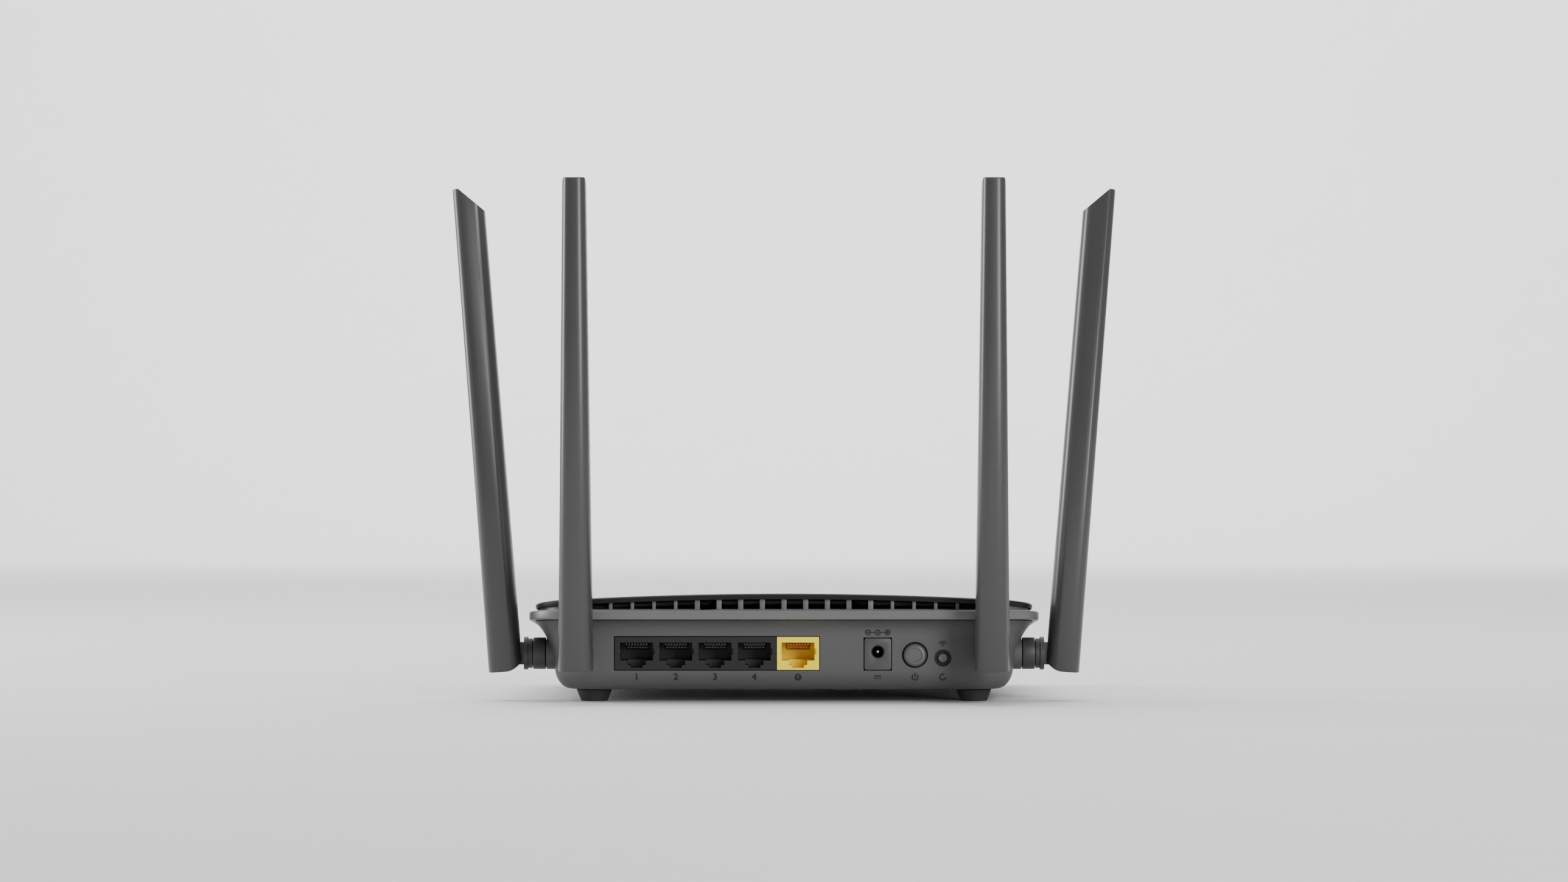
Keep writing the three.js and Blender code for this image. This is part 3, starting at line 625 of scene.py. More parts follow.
hinges = {
    "boss": 13.4,
    "bossFlush": 3.6,  # the boss proper stops this far behind the seam and stays in the wall
    "bossDepth": 10.5,
    "reach": 15.0,  # from the boss's face to the pin
    "barrel": 11.4,
    "sleeve": 4.5,
    "spigot": 9.6,
    "neck": 7.4,
    "headLength": 3.0,
    "collar": 11.8,
    "collarLength": 1.4,
    "faceToPin": 6.9,
    "tongue": 4.4,
    "eye": 4.0,
    "neckEnd": 13.4,
    "spigotLength": 4.0,
    "bore": 3.2,
    "groove": 1.4,
    "grooveFloor": 5.6,
    "pinHole": 3.6,
    "play": 0.6,  # added to a bore's diameter
    "headTrim": 0.8,
    "edgeBevel": 0.25,
}
mountNames = ["right_side", "left_side", "right_rear", "left_rear"]
corners = ["left_rear", "right_rear", "left_front", "right_front"]
portNumbers = [1, 2, 3, 4]


def pinOf(mount):
    return Vector(joints[mount + "_swivel"]["pos_m"]) / mm


def outward(mount):
    return -Vector(joints[mount + "_swivel"]["axis"])


def seated(mount, piece, lean=0.0):
    # moves a piece built round the hinge pin to its place on the casing
    heading = math.atan2(outward(mount).y, outward(mount).x)
    turn = Matrix.Rotation(heading, 4, "Z") @ Matrix.Rotation(math.radians(lean), 4, "Y")
    piece.matrix_world = Matrix.Translation(pinOf(mount) * mm) @ turn
    return settle(piece)


def mountRod(mount, start, end, diameter):
    return seated(mount, rod("mountTool", "x", start, end, diameter, (0, 0)))


lowerForm = {
    "roundLevels": 9,
    "roundCrowding": 1.8,  # crowds the levels towards the underside
    "hollowLevels": [2.0, 4.0, 8.0, 14.0, 19.0, 21.0, 22.5, 24.0, 27.0],
    "reach": 6.0,  # how far a cutting piece runs past the rear wall
    "upperLevels": [
        *(9.5, 11.0, 12.5, 14.0, 15.5, 17.0, 18.2),
        *(19.4, 20.4, 21.3, 22.2, 23.0, 23.7, 24.3),
    ],
    "edgeBevel": 0.28,
    "powerHole": 9.26,
    "pairingHole": 6.06,
    "ventCount": 6,
    "ventFirst": 16.0,
    "ventPitch": 7.0,
    "ventWidth": 2.6,
    "ventLength": 30.0,
    "ventCentre": 60.0,
    "keyholeSpacing": 110.0,
    "keyholeY": 100.0,
    "keyholeHead": 8.0,
    "keyholeShank": 4.0,
    "keyholeRun": 8.0,
    "screwWell": 7.0,
    "screwWellDepth": 3.0,
    "labelRecess": 0.5,
}


def throughWall(node, margin):
    # a square-cornered opening round a piece that looks out of the rear wall
    low, high = boxOf(node)
    edge = Vector((margin, 0, margin))
    back = rearWall + lowerForm["reach"]
    return cube("opening", low - edge - Vector((0, 4, 0)), Vector((high.x, back, high.z)) + edge)


def faceCentre(node):
    # the middle of a piece as seen on the rear wall
    low, high = boxOf(node)
    return (low.x + high.x) / 2, (low.z + high.z) / 2


def makeLowerCasing():
    own, base = lowerForm, underside
    steps, crowding = own["roundLevels"], own["roundCrowding"]
    heights = [form["edgeHeight"] * (step / steps) ** crowding for step in range(steps + 1)]
    heights += own["upperLevels"] + [form["seam"] - form["gap"] / 2]
    shell = raised("lowerCasing", [ring(height, *wallOffsets(height)) for height in heights])
    rings = []
    for height in own["hollowLevels"]:
        side, end = wallOffsets(max(height, form["edgeHeight"] / 2))
        rings.append(ring(height, side - form["wall"], end - form["wall"]))
    carve(wedged(shell), wedged(raised("hollow", rings)))
    face = -hinges["reach"]
    inner = face - hinges["bossDepth"]
    for mount in mountNames:
        fuse(shell, mountRod(mount, inner, face - hinges["bossFlush"], hinges["boss"]))
        fuse(shell, mountRod(mount, inner, face, hinges["barrel"]))
    for mount in mountNames:
        carve(
            shell,
            mountRod(mount, inner - 1, 0, hinges["spigot"] + hinges["play"]),
            mountRod(mount, face, 0, hinges["barrel"] + hinges["play"]),
        )
    wan, lan = boxOf("wan_jack"), boxOf("lan_jack_block")
    edge, before, behind = form["gap"], rearWall - own["reach"], rearWall + own["reach"]
    sockets = cube(
        "socketOpening",
        (lan[0].x - edge, before, lan[0].z - edge),
        (wan[1].x + edge, behind, lan[1].z + edge),
    )
    carve(shell, sockets, throughWall("power_inlet", edge))
    for node, hole in (("power_button", own["powerHole"]), ("pairing_button", own["pairingHole"])):
        carve(shell, rod("buttonHole", "y", before, behind, hole, faceCentre(node), sides=96))
    cuts = []
    for side in (-1, 1):
        for step in range(own["ventCount"]):
            x = side * (own["ventFirst"] + own["ventPitch"] * step)
            y = rearWall + own["ventCentre"]
            low = (x - own["ventWidth"] / 2, y - own["ventLength"] / 2, base - 1)
            high = (x + own["ventWidth"] / 2, y + own["ventLength"] / 2, base + 3)
            cuts.append(cube("vent", low, high))
        x, y = side * own["keyholeSpacing"] / 2, rearWall + own["keyholeY"]
        carve(
            shell,
            rod("keyholeHead", "z", base - 1, base + 3, own["keyholeHead"], (x, y)),
            cube(
                "keyholeShank",
                (x - own["keyholeShank"] / 2, y - own["keyholeRun"], base - 1),
                (x + own["keyholeShank"] / 2, y, base + 3),
            ),
        )
    low, high = boxOf("rating_label")
    recess = Vector((high.x + edge, high.y + edge, base + own["labelRecess"]))
    cuts.append(cube("labelRecess", (low.x - edge, low.y - edge, base - 1), recess))
    for corner in corners:
        centre, top = planCentre(*boxOf("screw_" + corner)), base + own["screwWellDepth"]
        cuts.append(rod("screwWell", "z", base - 1, top, own["screwWell"], centre))
    carveAll(shell, cuts)
    soften(shell, own["edgeBevel"])
    done(shade(shell), casingFinish, "lower_casing", "casing")


upperForm = {
    "overhang": 1.9,
    "height": 3.55,
    "round": 0.7,
    "roundSteps": 4,
    "shelf": 3.8,
    "deckTop": 32.7,
    "deckThickness": 1.4,
    "ribPitch": 7.7,
    "ribs": 17,
    "broadRibs": 9,
    "broad": 1.8,
    "slim": 1.2,
    "sill": 0.3,
    "run": 12.0,
    "edgeBevel": 0.2,
}


def rimOffsets():
    side, end = wallOffsets(form["seam"])
    return side + upperForm["overhang"], end + upperForm["overhang"]


def ribWidth(index):
    broadHalf = (upperForm["broadRibs"] - 1) / 2
    return upperForm["broad" if abs(index) <= broadHalf else "slim"]


def makeUpperCasing():
    own = upperForm
    side, end = rimOffsets()
    base, top, bend = form["seam"] + form["gap"] / 2, form["seam"] + own["height"], own["round"]
    angles = [step / own["roundSteps"] * math.pi / 2 for step in range(own["roundSteps"] + 1)]
    falls = [bend * (1 - math.sin(angle)) for angle in angles]
    climbs = [bend * (1 - math.cos(angle)) for angle in angles]
    levels = [(base + climb, fall) for climb, fall in zip(climbs, falls)]
    levels += [(top - fall, climb) for climb, fall in zip(climbs, falls)]
    rings = [ring(height, side - inset, end - inset, True) for height, inset in levels]
    riser, riserEnd = side - own["shelf"], end - own["shelf"]
    rings += [ring(top + 0.02, riser, riserEnd, True), ring(own["deckTop"], riser, riserEnd, True)]
    shell = raised("upperCasing", rings)
    ceiling = own["deckTop"] - own["deckThickness"]
    seamSide, seamEnd = (offset - form["wall"] for offset in wallOffsets(form["seam"]))
    inner, innerEnd = riser - form["wall"], riserEnd - form["wall"]
    hollow = raised(
        "hollow",
        [
            ring(base - 2, seamSide, seamEnd, True),
            ring(base + 0.5, seamSide, seamEnd, True),
            ring(top - 1.5, inner, innerEnd, True),
            ring(ceiling, inner, innerEnd, True),
        ],
    )
    carve(wedged(sliced(shell, crownPlaces), top + 1), wedged(sliced(hollow, crownPlaces), top + 1))
    last = (own["ribs"] - 1) // 2
    tools = windowTools(form["gap"])
    for index in range(-last - 1, last + 1):
        left = index * own["ribPitch"] + ribWidth(index) / 2
        right = (index + 1) * own["ribPitch"] - ribWidth(index + 1) / 2
        low = (left, rearWall - end - 1, underside + top + own["sill"])
        high = (right, rearWall + own["run"], underside + own["deckTop"] + 2)
        tools.append(cube("ventTool", low, high))
    carveAll(shell, tools)
    soften(shell, own["edgeBevel"])
    # the rim takes the finish with painted light
    done(shade(shell), rimPaintedLightFinish, "upper_casing", "casing")


coverForm = {
    "top": 34.4,
    "skirt": 2.0,
    "lap": 1.5,
    "wall": 1.2,
    "draft": 0.2,  # the skirt's foot stands back by this
    "bevel": 1.0,
    "bevelRun": 1.4,  # how much longer the rounding is than it is high
    "bevelSteps": 6,
    "windows": 6,
    "windowWidth": 4.0,
    "edgeBevel": 0.15,
}


def windowTools(margin):
    # the light guide's windows stand in a row between its ends
    low, high = boxOf("light_guide")
    count, width = coverForm["windows"], coverForm["windowWidth"]
    pitch = (high.x - low.x - width) / (count - 1)
    tools = []
    for index in range(count):
        x = low.x + width / 2 + pitch * index
        tools.append(
            cube(
                "windowTool",
                (x - width / 2 - margin, low.y - margin, low.z - 4),
                (x + width / 2 + margin, high.y + margin, high.z + 4),
            )
        )
    return tools


def makeTopCover():
    own = coverForm
    side, end = (offset - upperForm["shelf"] + own["lap"] for offset in rimOffsets())
    base = own["top"] - own["skirt"]
    rings = [ring(base, side - own["draft"], end - own["draft"], True)]
    for step in range(own["bevelSteps"] + 1):
        angle = step / own["bevelSteps"] * math.pi / 2
        inset = own["bevel"] * own["bevelRun"] * (1 - math.cos(angle))
        height = own["top"] - own["bevel"] * (1 - math.sin(angle))
        rings.append(ring(height, side - inset, end - inset, True))
    cover = sliced(raised("topCover", rings), crownPlaces)
    inner, innerEnd = side - own["wall"], end - own["wall"]
    roof = upperForm["deckTop"] + form["gap"]
    rings = [ring(height, inner, innerEnd, True) for height in (base - 1, roof)]
    hollow = sliced(raised("hollow", rings), crownPlaces)
    carve(wedged(cover, 0), wedged(hollow, 0))
    carveAll(cover, windowTools(form["gap"]))
    soften(cover, own["edgeBevel"])
    done(shade(cover, 30), panelFinish, "top_panel", "casing")
    modify(cover, "WEIGHTED_NORMAL", keep_sharp=True)  # keeps the arch even round the windows


# ---- the aerials and their hinges

bladeForm = {
    "tail": 6.5,  # from the pin down
    "length": 167.5,  # from the pin up
    "lean": 4.5,
    "cutRise": 8.7,  # how far the tip climbs outwards
    "tipFlat": 2.1,
    "endRound": 0.45,
    "shoulder": 0.3,  # share of the end's rounding at its middle ring
    "edgeShare": 0.6,  # and on the cut edges
    "width": 12.4,
    "topWidth": 8.4,
    "inner": 5.9,
    "topInner": 5.3,
    "outer": 6.3,
    "topOuter": 5.7,
    "fullness": 2.8,  # 2 makes the section an oval, more makes it squarer
    "sides": 64,
    "pocket": 4.7,
    "slot": 5.0,
}


def bladeRing(share, inset, height):
    own = bladeForm
    half = (own["width"] + (own["topWidth"] - own["width"]) * share) / 2 - inset
    inner = own["inner"] + (own["topInner"] - own["inner"]) * share - inset
    outer = own["outer"] + (own["topOuter"] - own["outer"]) * share - inset
    points = []
    for step in range(own["sides"]):
        angle = 2 * math.pi * step / own["sides"]
        along, across = (
            math.copysign(abs(part) ** (2 / own["fullness"]), part)
            for part in (math.cos(angle), math.sin(angle))
        )
        points.append(Vector(((outer if along > 0 else inner) * along, half * across, height)))
    return points


def makeBlade():
    # round the hinge pin: +x away from the casing, +z up the blade
    own = bladeForm
    bend, tail, length = own["endRound"], own["tail"], own["length"]
    shoulder = bend * own["shoulder"]
    rings = [
        bladeRing(0, bend, -tail),
        bladeRing(0, shoulder, -tail + shoulder),
        bladeRing(0, 0, -tail + bend),
        bladeRing(1, 0, length - bend),
        bladeRing(1, shoulder, length - shoulder),
        bladeRing(1, bend, length),
    ]
    blade = raised("blade", rings)
    room = 2 * own["width"]
    heel = cube("heel", (-room, -room, -room), (0, room, 0))
    carve(heel, rod("heelRound", "y", -room - 1, room + 1, tail * 2, (0, 0)))
    slot = own["slot"] / 2
    carve(blade, heel, cube("slot", (-room, -slot, -room), (own["pocket"], slot, own["pocket"])))
    fold = own["topOuter"] - own["tipFlat"]
    slant = math.atan2(own["cutRise"], fold + own["topInner"])
    wedge = cube("tipCut", (-room, -room, 0), (0, room, room))
    turn = Matrix.Rotation(-slant, 4, "Y")
    wedge.matrix_world = Matrix.Translation(Vector((fold, 0, length)) * mm) @ turn
    carve(blade, settle(wedge))
    soften(blade, bend * own["edgeShare"], 3, 40)
    return shade(blade, 40)


def makeKnuckle():
    own = hinges
    face, head = -own["faceToPin"], -own["faceToPin"] - own["headLength"]
    neckEnd = -own["reach"] - own["neckEnd"]
    half, eye = own["tongue"] / 2, own["eye"]
    knuckle = rod("knuckle", "x", head, face, own["barrel"] - own["headTrim"], (0, 0))
    fuse(knuckle, rod("collar", "x", face - own["collarLength"], face, own["collar"], (0, 0)))
    fuse(knuckle, rod("neck", "x", neckEnd, head + 0.5, own["neck"], (0, 0)))
    tongue = cube("tongue", (face - 0.3, -half, -eye), (0, half, eye))
    fuse(tongue, rod("eye", "y", -half, half, eye * 2, (0, 0)))
    fuse(knuckle, tongue)
    inner = -own["reach"] - own["bossDepth"]
    start = inner - own["groove"]
    groove = rod("groove", "x", start, inner, own["neck"] + 1, (0, 0))
    carve(groove, rod("grooveFloor", "x", start - 1, inner + 1, own["grooveFloor"], (0, 0)))
    carve(knuckle, groove, rod("bore", "x", neckEnd - 1, head + 1, own["bore"], (0, 0)))
    carve(knuckle, rod("pinHole", "y", -half - 1, half + 1, own["pinHole"], (0, 0), sides=32))
    soften(knuckle, own["edgeBevel"], 3)
    return shade(knuckle, 30)


def makeSleeve():
    own = hinges
    face = -own["reach"]
    start = face + form["gap"]
    sleeve = rod("sleeve", "x", start, start + own["sleeve"], own["barrel"], (0, 0))
    fuse(sleeve, rod("spigot", "x", face - own["spigotLength"], start + 0.2, own["spigot"], (0, 0)))
    bore = own["neck"] + own["play"]
    carve(sleeve, rod("sleeveBore", "x", face - own["spigotLength"] - 1, 0, bore, (0, 0)))
    soften(sleeve, own["edgeBevel"], 3)
    return shade(sleeve, 30)


def copied(piece, name):
    only(piece)
    bpy.ops.object.duplicate()
    return called(name)


def makeAerials():
    blade, knuckle, sleeve = makeBlade(), makeKnuckle(), makeSleeve()
    for mount in mountNames:
        arm = seated(mount, copied(blade, mount + "Blade"), bladeForm["lean"])
        done(arm, aerialFinish, mount + "_aerial", mount + "_blade")
        turning = seated(mount, copied(knuckle, mount + "Knuckle"))
        done(turning, hingeFinish, mount + "_knuckle", mount + "_swivel")
        fixed = seated(mount, copied(sleeve, mount + "Sleeve"))
        done(fixed, hingeFinish, mount + "_sleeve", "casing")
    for master in (blade, knuckle, sleeve):
        bpy.data.objects.remove(master, do_unlink=True)


# ---- the sockets

jackForm = {
    "mouthWidth": 11.7,
    "mouthTop": 2.0,  # below the block's own top
    "mouthHeight": 6.4,
    "latchWidth": 6.6,
    "latchHeight": 1.6,
    "tongueWidth": 4.3,
    "tongueHeight": 1.0,
    "cheek": 0.6,
    "cheekTop": 2.0,
    "cheekLow": 4.2,
    "cheekDepth": 1.6,
    "cavityDepth": 13.5,
    "latchStop": 4.0,  # the latch's notch ends this far before the cavity does
    "combHalf": 4.3,
    "combHeight": 3.0,
    "combDepth": 2.2,
    "frame": 0.4,  # outside this the block keeps its outer finish
    "lip": 0.25,  # and before this depth
    "edgeBevel": 0.22,
}


def jackCavity(x, top):
    own = jackForm
    front, back = rearWall - 3, rearWall + own["cavityDepth"]
    stop = back - own["latchStop"]
    roof = top - own["mouthTop"]
    floor = roof - own["mouthHeight"]
    step = floor - own["latchHeight"]
    half = own["mouthWidth"] / 2
    hollow = cube("mouth", (x - half, front, floor), (x + half, back, roof))
    latch = own["latchWidth"] / 2
    fuse(hollow, cube("latch", (x - latch, front, step), (x + latch, stop, floor + 0.1)))
    tongue = own["tongueWidth"] / 2
    low = (x - tongue, front, step - own["tongueHeight"])
    fuse(hollow, cube("tongue", low, (x + tongue, stop, step + 0.1)))
    cheek = half + own["cheek"]
    low = (x - cheek, front, roof - own["cheekLow"])
    high = (x + cheek, rearWall + own["cheekDepth"], roof - own["cheekTop"])
    fuse(hollow, cube("cheeks", low, high))
    comb = own["combHalf"]
    low = (x - comb, back - 0.1, roof - own["combHeight"])
    return fuse(hollow, cube("comb", low, (x + comb, back + own["combDepth"], roof)))


def makeJack(node, centres, outside, inside):
    own = jackForm
    low, high = boxOf(node)
    block = cube(node + "Shell", low, high)
    carveAll(block, [jackCavity(x, high.z) for x in centres])
    soften(block, own["edgeBevel"], 2)
    done(shade(block, 30), outside, node, "casing")

    def within(middle, normal):
        fromLow, fromHigh = middle - low, high - middle
        edge = min(fromLow.x, fromHigh.x, fromLow.z, fromHigh.z, fromHigh.y)
        return middle.y > rearWall + own["lip"] and edge > own["frame"]

    lined(block, inside, within)


def makeSockets():
    centres = [faceCentre("lan_contacts_" + str(number))[0] for number in portNumbers]
    makeJack("lan_jack_block", centres, jackFinish, chipFinish)
    makeJack("wan_jack", [faceCentre("wan_contacts")[0]], yellowFinish, amberFinish)


inletForm = {
    "bore": 4.1,
    "boreDepth": 3.0,  # left behind the bore
    "mouth": 5.0,  # the bore's flared edge
    "mouthDepth": 0.5,
    "pinHole": 1.9,
    "corner": 0.7,
    "pin": 1.3,
    "pinRound": 0.5,
    "edgeBevel": 0.15,
}


def makeInlet():
    own = inletForm
    low, high = boxOf("power_inlet")
    centre = faceCentre("power_inlet_pin")
    housing = cube("inletHousing", low, high)

    def runsBack(middle, edge):
        return abs(edge.verts[0].co.y - edge.verts[1].co.y) > mm

    rounded(housing, runsBack, "EDGE", own["corner"], 5)
    front, back = low.y - 1, high.y - own["boreDepth"]
    mouth = (low.y - 0.01, low.y + own["mouthDepth"], own["mouth"], centre, own["bore"] - 0.02)
    carve(
        housing,
        rod("bore", "y", front, back, own["bore"], centre),
        rod("mouth", "y", *mouth),
        rod("pinHole", "y", back - 1, high.y + 1, own["pinHole"], centre, sides=32),
    )
    soften(housing, own["edgeBevel"], 2)
    done(shade(housing, 30), inletFinish, "power_inlet", "casing")

    def inBore(middle, normal):
        across = math.hypot(middle.x - centre[0], middle.z - centre[1])
        return across < own["mouth"] / 2 + 0.1 and middle.y > low.y + 0.3

    lined(housing, chipFinish, inBore)
    tip, root = boxOf("power_inlet_pin")
    pin = rod("inletPin", "y", tip.y, root.y, own["pin"], centre, sides=32)
    rounded(pin, lambda middle, edge: middle.y < tip.y + 0.1, "EDGE", own["pinRound"], 5)
    done(shade(pin, 40), steelFinish, "power_inlet_pin", "casing")


# ---- the buttons

buttonForms = {
    "power_button": {
        "body": "power_push",
        "cap": 8.14,
        "round": 1.3,
        "dish": 5.6,
        "dishSlant": 0.4,
        "dishDepth": 0.25,
        "flange": 10.6,
        "flangeThickness": 1.2,
        "stem": 4.0,
    },
    "pairing_button": {
        "body": "pairing_push",
        "cap": 3.4,
        "round": 0.5,
        "dish": 2.2,
        "dishSlant": 0.4,
        "dishDepth": 0.12,
        "flange": 7.6,
        "flangeThickness": 1.0,
        "stem": 3.0,
    },
}


def makeButton(node):
    own = buttonForms[node]
    low, high = boxOf(node)
    centre = faceCentre(node)
    seat = rearWall + form["wall"] + form["gap"]
    button = rod(node + "Cap", "y", low.y, seat + 0.2, own["cap"], centre, sides=96)

    def face(middle, normal):
        return normal.y < -0.999

    rounded(button, face, "FACE", own["round"], 10)
    rim = (own["cap"] - 2 * own["round"] - own["dish"] + own["dishSlant"]) / 2
    dished(button, face, rim, own["dishSlant"], own["dishDepth"])
    fuse(button, rod("flange", "y", seat, seat + own["flangeThickness"], own["flange"], centre))
    fuse(button, rod("stem", "y", seat, high.y, own["stem"], centre, sides=32))
    done(shade(button, 32), buttonFinish, node, own["body"])
    lined(button, chipFinish, lambda middle, normal: middle.y > low.y + own["round"])


# ---- feet and screws

footForm = {
    "top": 12.8,
    "bottom": 9.4,
    "peg": 8.0,
    "hollow": 5.4,
    "hollowSlant": 0.3,
    "hollowDepth": 0.5,
    "edgeBevel": 0.3,
}
screwForm = {
    "head": 5.6,
    "headHeight": 1.6,
    "dome": 0.6,
    "shank": 2.8,
    "shankEnd": 2.24,
    "slotLong": 3.4,
    "slotShort": 0.7,
    "slotDepth": 0.9,
}


def facesDown(middle, normal):
    return normal.z < -0.9


def makeFeet():
    own = footForm
    for corner in corners:
        low, high = boxOf("foot_" + corner)
        centre = planCentre(low, high)
        base = underside - form["gap"]
        foot = rod("foot_" + corner, "z", 0, base, own["bottom"], centre, own["top"], sides=72)
        fuse(foot, rod("peg", "z", base - 0.5, high.z, own["peg"], centre))
        rim = (own["bottom"] - own["hollow"]) / 2
        dished(foot, facesDown, rim, own["hollowSlant"], own["hollowDepth"])
        soften(foot, own["edgeBevel"], 3, 40)
        done(shade(foot, 32), rubberFinish, "foot_" + corner, "casing")


def makeScrews():
    own = screwForm
    for corner in corners:
        low, high = boxOf("screw_" + corner)
        centre = planCentre(low, high)
        seat = low.z + own["headHeight"]
        screw = rod("screw_" + corner, "z", low.z, seat, own["head"], centre)
        rounded(screw, facesDown, "FACE", own["dome"], 5)
        shank = (seat - 0.5, high.z, own["shank"], centre, own["shankEnd"], 32)
        fuse(screw, rod("shank", "z", *shank))
        across, along = own["slotShort"] / 2, own["slotLong"] / 2
        for span in (Vector((across, along, 0)), Vector((along, across, 0))):
            start = Vector((*centre, low.z - 1)) - span
            carve(screw, cube("slot", start, Vector((*centre, low.z + own["slotDepth"])) + span))
        done(shade(screw, 32), steelFinish, "screw_" + corner, "casing")


# ---- the prints on the rear wall

printForm = {
    "proud": 0.03,
    "sunk": 0.25,
    "line": 0.46,  # stroke width
    "size": 2.5,
    "numberSize": 1.3,  # beside the signs' size
    "embolden": 0.11,
    "row": 4.6,  # middle of the row under the sockets, above the underside
    "pairingRow": 16.7,
    "polarityRow": 20.5,
    "polarityPitch": 3.5,
    "polarityRing": 2.1,
    "polarityMark": 1.1,
    "sliceStep": 0.25,
}


def inkBlock(x, z, width, height):
    low = (x - width / 2, -printForm["proud"], z - height / 2)
    return cube("ink", low, (x + width / 2, printForm["sunk"], z + height / 2))


def inkDisc(x, z, diameter, sides=40):
    return rod("ink", "y", -printForm["proud"], printForm["sunk"], diameter, (x, z), sides=sides)


def inkRing(x, z, diameter, squash=1.0):
    own = printForm
    band = inkDisc(x, z, diameter)
    room = own["sunk"] + 1
    carve(band, rod("inkHole", "y", -room, room, diameter - 2 * own["line"], (x, z), sides=40))
    for vertex in band.data.vertices:
        vertex.co.x = x * mm + (vertex.co.x - x * mm) * squash
    return band


def inkNumber(text, x, z):
    own = printForm
    bpy.ops.object.select_all(action="DESELECT")
    bpy.ops.object.text_add(rotation=(math.radians(90), 0, 0))
    number = bpy.context.object
    number.data.body = text
    number.data.size = own["size"] * own["numberSize"] * mm
    number.data.offset = own["embolden"] * mm
    number.data.extrude = (own["proud"] + own["sunk"]) / 2 * mm
    number.data.align_x = "CENTER"
    number.data.align_y = "CENTER"
    only(number)
    bpy.ops.object.convert(target="MESH")
    number = called("ink")
    number.location = Vector((x, (own["sunk"] - own["proud"]) / 2, z)) * mm
    settle(number)
    bpy.ops.object.mode_set(mode="EDIT")
    bpy.ops.mesh.select_all(action="SELECT")
    bpy.ops.mesh.remove_doubles(threshold=1e-6)
    bpy.ops.mesh.normals_make_consistent(inside=False)
    bpy.ops.object.mode_set(mode="OBJECT")
    return number


def globeSign(x, z):
    own = printForm
    size, line = own["size"], own["line"]
    return [inkRing(x, z, size), inkRing(x, z, size, 0.5), inkBlock(x, z, size - line, line * 0.8)]


def directCurrentSign(x, z):
    own = printForm
    dashes = [inkBlock(x + 0.9 * step, z - 0.4, 0.55, own["line"]) for step in (-1, 0, 1)]
    return [inkBlock(x, z + 0.4, 2.4, own["line"])] + dashes


def powerSign(x, z):
    own = printForm
    size, line = own["size"], own["line"]
    arc = inkRing(x, z, size)
    carve(arc, cube("inkGap", (x - line * 1.4, -1, z), (x + line * 1.4, 1, z + size)))
    return [arc, inkBlock(x, z + size * 0.3, line, size * 0.62)]


def loopSign(x, z):
    own = printForm
    size = own["size"]
    arc = inkRing(x, z, size)
    carve(arc, cube("inkGap", (x, -1, z), (x + size, 1, z + size)))
    return [arc, inkDisc(x + 0.15, z + size / 2 - own["line"] / 2, 1.1, sides=3)]


def pairingSign(x, z):
    size = printForm["size"]
    root = z - size * 0.35  # the arcs' common middle
    signs = [inkDisc(x, root, 0.6)]
    for diameter in (size * 0.75, size * 1.35):
        arc = inkRing(x, root, diameter)
        carve(arc, cube("inkGap", (x - size, -1, z - size), (x + size, 1, root + diameter * 0.2)))
        signs.append(arc)
    return signs


def polaritySign(x, z):
    own = printForm
    line, pitch, circle = own["line"] * 0.8, own["polarityPitch"], own["polarityRing"]
    signs = [inkRing(x + step * pitch, z, circle) for step in (-1, 0, 1)]
    signs += [inkBlock(x + step * pitch / 2, z, pitch - circle, line) for step in (-1, 1)]
    signs += [inkBlock(x + step * pitch, z, own["polarityMark"], line) for step in (-1, 1)]
    signs += [inkBlock(x + pitch, z + 0.35, line, 0.42), inkBlock(x + pitch, z - 0.35, line, 0.42)]
    return signs + [inkDisc(x, z, 0.7)]


def printed(name, signs):
    # lays the prints against the wall, which bends inwards below and outwards above
    own = printForm
    piece = joined(name, *signs)
    tops = [vertex.co.z / mm for vertex in piece.data.vertices]
    count = int((max(tops) - min(tops)) / own["sliceStep"])
    places = [min(tops) + own["sliceStep"] * (step + 0.5) for step in range(count)]
    sliced(piece, places, (0, 0, 1))
    for vertex in piece.data.vertices:
        end = wallOffsets(vertex.co.z / mm)[1]
        vertex.co.y += (rearWall - end) * mm
        vertex.co.z += underside * mm
    piece.data.materials.clear()
    piece.data.materials.append(inkFinish)
    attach(piece, "casing")
    return piece


def makePrints():
    own = printForm
    row = own["row"]
    places = {number: faceCentre("lan_contacts_" + str(number))[0] for number in portNumbers}
    printed("portNumbers", [inkNumber(str(number), x, row) for number, x in places.items()])
    inlet, power = faceCentre("power_inlet")[0], faceCentre("power_button")[0]
    pairing, wan = faceCentre("pairing_button")[0], faceCentre("wan_jack")[0]
    signs = globeSign(wan, row) + directCurrentSign(inlet, row)
    signs += powerSign(power, row) + loopSign(pairing, row)
    printed("lowerSigns", signs)
    printed("pairingSign", pairingSign(pairing, own["pairingRow"]))
    printed("polaritySign", polaritySign(inlet, own["polarityRow"]))


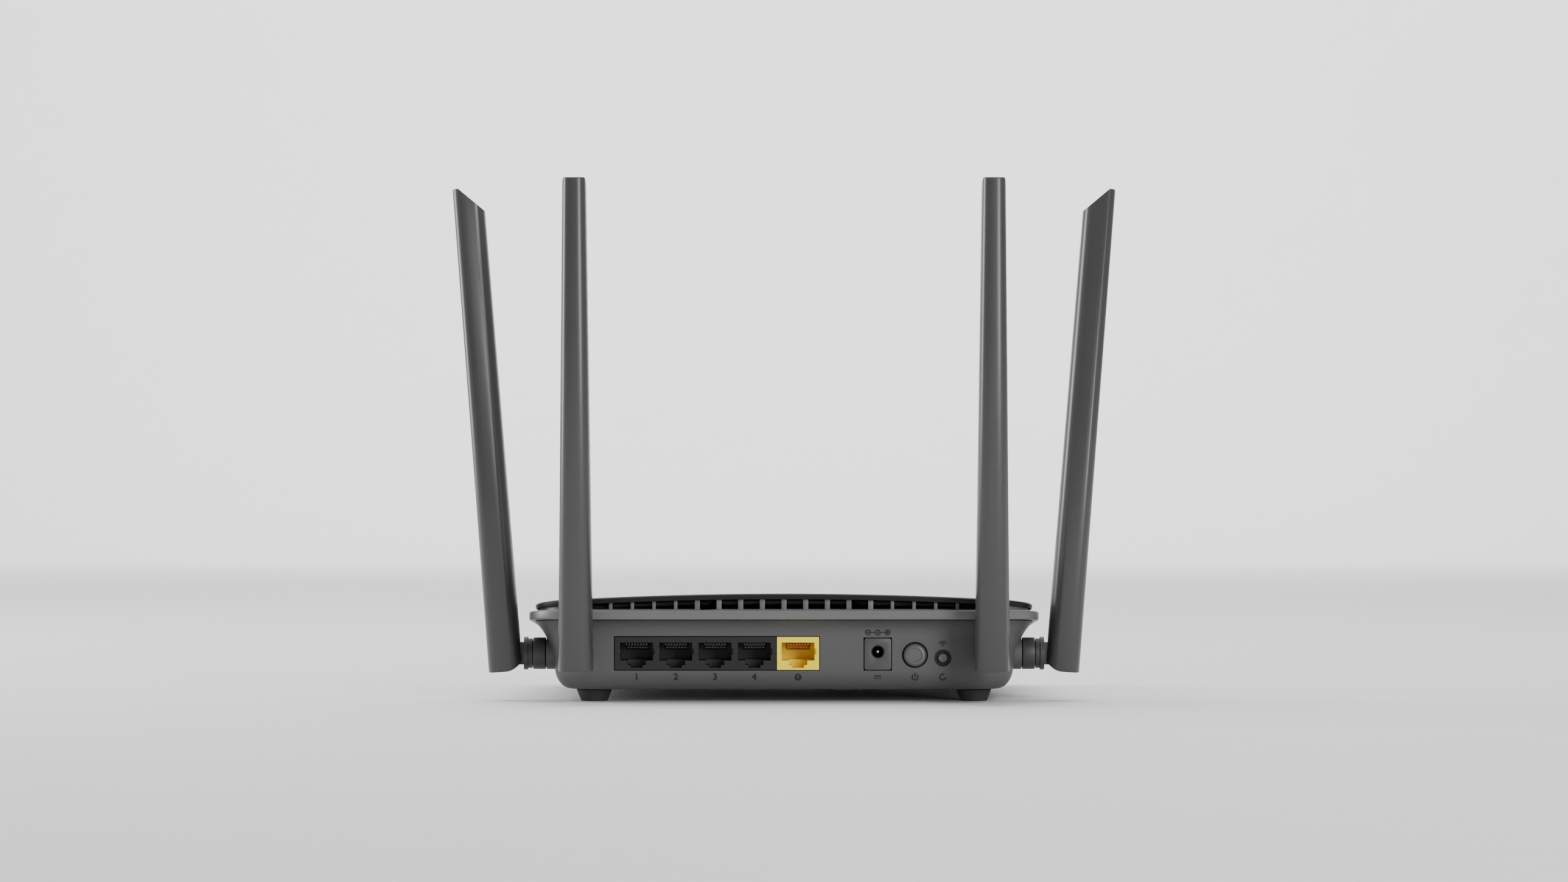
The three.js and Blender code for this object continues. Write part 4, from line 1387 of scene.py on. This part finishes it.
# ---- what is carried over from the frame

carriedOver = {
    "circuit_board": boardFinish,
    "rating_label": labelFinish,
    "light_guide": guideFinish,
    "wan_contacts": copperFinish,
    "power_switch": chipFinish,
    "pairing_switch": chipFinish,
    "processor": chipFinish,
    "radio_shield": aluminiumFinish,
    "lan_transformer": chipFinish,
    "wan_transformer": chipFinish,
    "heat_sink": aluminiumFinish,
}


def dressFrame():
    for node, finish in carriedOver.items():
        dress(node, finish)
    for number in portNumbers:
        # the LAN contacts take the metal with painted shade
        dress("lan_contacts_" + str(number), paintedShadeContactFinish)
    for mount in mountNames:
        dress(mount + "_retaining_ring", steelFinish)
        dress(mount + "_hinge_pin", steelFinish)
        dress(mount + "_radiator", brassFinish)
        dress(mount + "_lead", leadFinish)


# ---- everything in turn

makeLowerCasing()
print("lower casing made")
makeUpperCasing()
makeTopCover()
print("upper casing and cover made")
makeAerials()
print("aerials and hinges made")
makeSockets()
makeInlet()
print("sockets made")
for button in buttonForms:
    makeButton(button)
print("buttons made")
makeFeet()
makeScrews()
print("feet and screws made")
makePrints()
dressFrame()
print("prints laid and the frame's own pieces dressed")


# ---- the floor and the end

stageForm = {"near": -2.6, "far": 2.6, "half": 3.0, "rise": 2.4, "bend": 0.5}  # in metres


def makeFloor():
    own = stageForm
    bpy.ops.object.select_all(action="DESELECT")
    bpy.ops.mesh.primitive_plane_add(size=1, location=(0, 0, 0))
    floor = called("studioFloor")
    floor.scale = (own["half"] * 2, own["far"] - own["near"], 1)
    floor.location = (0, (own["far"] + own["near"]) / 2, 0)
    settle(floor)
    choose(floor, lambda middle, edge: middle.y > own["far"] / mm - 1, "EDGE")
    bpy.ops.mesh.extrude_region_move(TRANSFORM_OT_translate={"value": (0, 0, own["rise"])})
    choose(floor, lambda middle, edge: middle.y > own["far"] / mm - 1 and middle.z < 1, "EDGE")
    bpy.ops.mesh.bevel(offset=own["bend"], segments=16, affect="EDGES")
    bpy.ops.object.mode_set(mode="OBJECT")
    shade(floor, 60)
    floor.data.materials.append(floorPaper())


makeFloor()
print("done")
